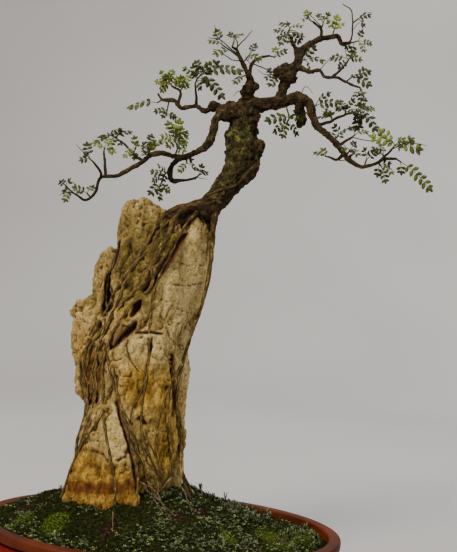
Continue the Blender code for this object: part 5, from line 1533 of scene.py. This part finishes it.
def build_moss():
    """The moss cushion, closed underneath, and the tufts that stand on it."""
    moss = Shells()
    points, bare, bright = [], [], []

    def top_height(x, y, fade):
        level = mound_height(x, y)
        return level + (moss_height(x, y) - level) * fade - 2.5 * (1 - fade)

    def ring(share, height_at):
        for k in range(MOSS_SIDES):
            x, y = mound_spot(share, 2 * math.pi * k / MOSS_SIDES)
            points.append((x, y, height_at(x, y)))
            bare.append(patch_share(BARE_PATCHES, x, y))
            bright.append(patch_share(BRIGHT_PATCHES, x, y))

    for i in range(1, MOSS_RINGS + 1):
        share = i / MOSS_RINGS
        fade = min(1.0, (1 - share) * 24)
        ring(share, lambda x, y: top_height(x, y, fade))
    for i in range(MOSS_UNDER_RINGS):
        ring(1 - i / MOSS_UNDER_RINGS, lambda x, y: mound_height(x, y) - MOSS_THICKNESS)
    for height in (moss_height(*MOUND_CENTRE), mound_height(*MOUND_CENTRE) - MOSS_THICKNESS):
        points.append((*MOUND_CENTRE, height))
        bare.append(0.0)
        bright.append(0.0)
    faces = closed_faces(MOSS_RINGS + MOSS_UNDER_RINGS, MOSS_SIDES, inward=True)
    moss.add(points, faces, bare=bare, bright=bright)
    draw = random.Random(5)
    for _ in range(bpy.context.scene.bonsai_sizes.moss_tufts):
        x, y = mound_spot(math.sqrt(draw.random()) * 0.985, draw.uniform(0, 2 * math.pi))
        bareness, lush = patch_share(BARE_PATCHES, x, y), patch_share(BRIGHT_PATCHES, x, y)
        if draw.random() < bareness * 1.1:
            continue
        z = moss_height(x, y)
        tall = draw.uniform(*TUFT_HEIGHTS) * (1 + 0.5 * lush)
        lean = Vector((draw.uniform(-0.5, 0.5), draw.uniform(-0.5, 0.5), 1.0)).normalized()
        foot = Vector((x, y, z - 0.8))
        turn = draw.uniform(0, 2 * math.pi)
        corners = [
            foot + Vector((math.cos(turn + a), math.sin(turn + a), 0)) * TUFT_RADIUS
            for a in (0, 2 * math.pi / 3, 4 * math.pi / 3)
        ]
        moss.add(
            [*corners, foot + lean * tall], ((0, 2, 1), (0, 1, 3), (1, 2, 3), (2, 0, 3)),
            bare=bareness * 0.6, bright=lush + draw.uniform(0, 0.3),
        )
    moss.piece(
        "moss_carpet", make_material("Cushion moss, over soil", cushion_moss), "moss", ("moss",),
    )


def weed_blade(weeds, foot, turn, rise, length, width, tint):
    """A small closed leaf from the heart of a weed."""
    out = Vector((math.cos(turn), math.sin(turn), 0))
    across = Vector((-math.sin(turn), math.cos(turn), 0))
    up = Vector((0, 0, 1))
    middle = foot + out * length * 0.55 + up * length * rise
    end = foot + out * length + up * length * rise * 1.15
    points = [
        foot - up * 0.8, middle + across * width, end, middle - across * width,
        middle + up * 0.1, middle - up * 0.5,
    ]
    faces = ((0, 1, 4), (1, 2, 4), (2, 3, 4), (3, 0, 4), (1, 0, 5), (2, 1, 5), (3, 2, 5), (0, 3, 5))
    weeds.add(points, faces, tint=tint)


def build_weeds():
    """Rosettes of ground cover all over the moss, thicker at the front and right, and some sprigs."""
    weeds = Shells()
    draw = random.Random(77)
    wanted = bpy.context.scene.bonsai_sizes.weeds
    while wanted:
        x, y = mound_spot(math.sqrt(draw.random()) * 0.97, draw.uniform(0, 2 * math.pi))
        right_front = 0.3 + 0.45 * (x > -10) + 0.25 * (y < -50)
        if draw.random() > right_front * (1 - 0.5 * patch_share(BARE_PATCHES, x, y)):
            continue
        if noise.noise(Vector((x, y, 50)) / 30.0) < draw.uniform(-0.4, 0.15):
            continue
        wanted -= 1
        foot = Vector((x, y, moss_height(x, y)))
        sprig = draw.random() < (0.2 if x > 0 and y > -30 else 0.05)
        count = draw.randint(4, 7)
        reach = draw.uniform(*(SPRIG_REACH if sprig else ROSETTE_REACH))
        tint = min(1.0, max(0.0, draw.gauss(0.32 if sprig else 0.6, 0.2)))
        start = draw.uniform(0, 6.28)
        for k in range(count):
            weed_blade(
                weeds, foot, start + 2 * math.pi * k / count + draw.uniform(-0.3, 0.3),
                draw.uniform(0.8, 2.2) if sprig else draw.uniform(0.1, 0.6),
                reach * draw.uniform(0.5, 0.9 if sprig else 1.15), min(1.0, reach * draw.uniform(0.22, 0.34)),
                min(1.0, max(0.0, tint + draw.uniform(-0.15, 0.15))),
            )
    weeds.piece("weeds", make_material("Ground cover, dusty leaf", weed_leaf), "moss", ("moss",))


def build_stage():
    """Paper sweep, soft lights and the camera at the photograph's angle."""
    deselect()
    bpy.ops.mesh.primitive_plane_add(size=1.0, location=(0.0, 0.0, 0.0))
    sweep = bpy.context.object
    sweep.scale = (SWEEP_LENGTH, SWEEP_DEPTH, 1.0)
    settle(sweep, "paper_sweep")
    bpy.ops.object.mode_set(mode="EDIT")
    bpy.ops.mesh.select_mode(type="EDGE")
    bpy.ops.mesh.select_all(action="DESELECT")
    bpy.ops.object.mode_set(mode="OBJECT")
    mesh = sweep.data
    for edge in mesh.edges:
        edge.select = all(mesh.vertices[v].co.y > SWEEP_DEPTH / 2 - 0.1 for v in edge.vertices)
    bpy.ops.object.mode_set(mode="EDIT")
    bpy.ops.mesh.extrude_region_move(TRANSFORM_OT_translate={"value": (0.0, 0.0, SWEEP_HEIGHT)})
    bpy.ops.object.mode_set(mode="OBJECT")
    apply_modifier(
        sweep, "BEVEL", width=SWEEP_FOLD, segments=40, affect="EDGES", angle_limit=math.radians(30),
    )
    sweep.data.shade_smooth()
    sweep.data.materials.append(make_material("Backdrop paper, matt", backdrop_paper))
    for name, place, size, power, colour, aim in LIGHTS:
        bpy.ops.object.light_add(type="AREA", location=place)
        lamp = bpy.context.object
        lamp.name = name
        lamp.rotation_euler = (Vector(aim) - Vector(place)).to_track_quat("-Z", "Y").to_euler()
        lamp.data.shape = "RECTANGLE"
        lamp.data.size, lamp.data.size_y = size
        lamp.data.energy = power
        lamp.data.color = linear(colour)[:3]
    world = bpy.data.worlds.new("Soft daylight")
    bpy.context.scene.world = world
    world.use_nodes = True
    world.node_tree.nodes["Background"].inputs["Color"].default_value = linear("#F2F0EE")
    world.node_tree.nodes["Background"].inputs["Strength"].default_value = WORLD_STRENGTH
    bpy.ops.object.camera_add(location=CAMERA_PLACE, rotation=CAMERA_TURN)
    camera = bpy.context.object
    camera.name = "camera"
    camera.data.lens = CAMERA_LENS
    camera.data.sensor_width = 36.0
    camera.data.clip_end = 30.0
    bpy.context.scene.camera = camera


class BonsaiSizes(bpy.types.PropertyGroup):
    """Sizes and counts of the bonsai's fine form."""

    stone_grain: bpy.props.FloatProperty(
        name="Stone grain", description="Spacing of the stone's mesh",
        default=0.0019, min=0.001, max=0.02, subtype="DISTANCE", unit="LENGTH",
    )
    bark_grain: bpy.props.FloatProperty(
        name="Bark grain", description="Spacing of the bark's mesh on trunk and stout limbs",
        default=0.0013, min=0.001, max=0.01, subtype="DISTANCE", unit="LENGTH",
    )
    more_leaves: bpy.props.FloatProperty(
        name="More leaves", description="Share of the leaves that have another beside them",
        default=0.4, min=0.0, max=1.0, subtype="FACTOR",
    )
    moss_tufts: bpy.props.IntProperty(
        name="Moss tufts", description="Number of tufts that stand on the moss",
        default=22000, min=0, subtype="UNSIGNED",
    )
    weeds: bpy.props.IntProperty(
        name="Weeds", description="Number of small weeds in the moss",
        default=2600, min=0, subtype="UNSIGNED",
    )


def colour_property(name, description, hex_colour):
    """A colour that the user may change, with its default as an sRGB hex value."""
    return bpy.props.FloatVectorProperty(
        name=name, description=description, default=linear(hex_colour)[:3], min=0.0, max=1.0,
        subtype="COLOR",
    )


class BonsaiColours(bpy.types.PropertyGroup):
    """Leading colour of each finish, from which its darker and lighter tones are taken."""

    clay: colour_property("Clay", "Fired clay of the tray's wall", "#600D03")
    stone: colour_property("Stone", "Clean faces of the stone", "#AC9152")
    bark: colour_property("Bark", "Ridges of the bark", "#40321A")
    root: colour_property("Root", "Skin of the roots on the stone", "#5E4A22")
    leaf: colour_property("Leaf", "Grown leaflets", "#535A1A")
    moss: colour_property("Moss", "Cushion moss on the mound", "#151804")
    weed: colour_property("Weed", "Small weeds in the moss", "#828E62")
    paper: colour_property("Paper", "Backdrop paper", "#A3A1A0")


class BONSAI_OT_tray(bpy.types.Operator):
    """Build the oval clay tray with its feet and drain holes"""

    bl_idname = "bonsai.tray"
    bl_label = "Clay Tray"

    def execute(self, context):
        build_tray()
        return {"FINISHED"}


class BONSAI_OT_screens(bpy.types.Operator):
    """Build the mesh screens over the drain holes"""

    bl_idname = "bonsai.screens"
    bl_label = "Drain Screens"

    def execute(self, context):
        build_screens()
        return {"FINISHED"}


class BONSAI_OT_soil(bpy.types.Operator):
    """Give the soil its finish"""

    bl_idname = "bonsai.soil"
    bl_label = "Soil"

    def execute(self, context):
        give_soil_finish()
        return {"FINISHED"}


class BONSAI_OT_stone(bpy.types.Operator):
    """Build the craggy stone"""

    bl_idname = "bonsai.stone"
    bl_label = "Stone"

    def execute(self, context):
        build_stone()
        return {"FINISHED"}


class BONSAI_OT_wood(bpy.types.Operator):
    """Build the trunk, limbs, twigs and burls"""

    bl_idname = "bonsai.wood"
    bl_label = "Trunk and Limbs"

    def execute(self, context):
        build_trunk_and_limbs()
        return {"FINISHED"}


class BONSAI_OT_roots(bpy.types.Operator):
    """Build the roots on the stone, which must be there first"""

    bl_idname = "bonsai.roots"
    bl_label = "Roots"

    def execute(self, context):
        build_roots()
        return {"FINISHED"}


class BONSAI_OT_leaves(bpy.types.Operator):
    """Build the leafy shoots"""

    bl_idname = "bonsai.leaves"
    bl_label = "Leaves"

    def execute(self, context):
        build_leaves()
        return {"FINISHED"}


class BONSAI_OT_moss(bpy.types.Operator):
    """Build the moss carpet and its tufts"""

    bl_idname = "bonsai.moss"
    bl_label = "Moss"

    def execute(self, context):
        build_moss()
        return {"FINISHED"}


class BONSAI_OT_weeds(bpy.types.Operator):
    """Build the small weeds in the moss"""

    bl_idname = "bonsai.weeds"
    bl_label = "Weeds"

    def execute(self, context):
        build_weeds()
        return {"FINISHED"}


class BONSAI_OT_stage(bpy.types.Operator):
    """Build the paper sweep, the lights and the camera"""

    bl_idname = "bonsai.stage"
    bl_label = "Stage"

    def execute(self, context):
        build_stage()
        return {"FINISHED"}


STEPS = (
    BONSAI_OT_tray, BONSAI_OT_screens, BONSAI_OT_soil, BONSAI_OT_stone, BONSAI_OT_wood,
    BONSAI_OT_roots, BONSAI_OT_leaves, BONSAI_OT_moss, BONSAI_OT_weeds, BONSAI_OT_stage,
)


class BONSAI_PT_panel(bpy.types.Panel):
    """The sizes and colours, then the steps in their order."""

    bl_label = "Bonsai"
    bl_space_type = "VIEW_3D"
    bl_region_type = "UI"
    bl_category = "Bonsai"

    def draw(self, context):
        for group in (context.scene.bonsai_sizes, context.scene.bonsai_colours):
            for name in type(group).__annotations__:
                self.layout.prop(group, name)
        for step in STEPS:
            self.layout.operator(step.bl_idname)


CLASSES = (BonsaiSizes, BonsaiColours, *STEPS, BONSAI_PT_panel)


def register():
    for each in CLASSES:
        bpy.utils.register_class(each)
    bpy.types.Scene.bonsai_sizes = bpy.props.PointerProperty(type=BonsaiSizes)
    bpy.types.Scene.bonsai_colours = bpy.props.PointerProperty(type=BonsaiColours)


def unregister():
    del bpy.types.Scene.bonsai_sizes
    del bpy.types.Scene.bonsai_colours
    for each in reversed(CLASSES):
        bpy.utils.unregister_class(each)


def main():
    register()
    bpy.ops.bonsai.tray()
    bpy.ops.bonsai.screens()
    bpy.ops.bonsai.soil()
    bpy.ops.bonsai.stone()
    bpy.ops.bonsai.wood()
    bpy.ops.bonsai.roots()
    bpy.ops.bonsai.leaves()
    bpy.ops.bonsai.moss()
    bpy.ops.bonsai.weeds()
    bpy.ops.bonsai.stage()


if __name__ == "__main__":
    main()
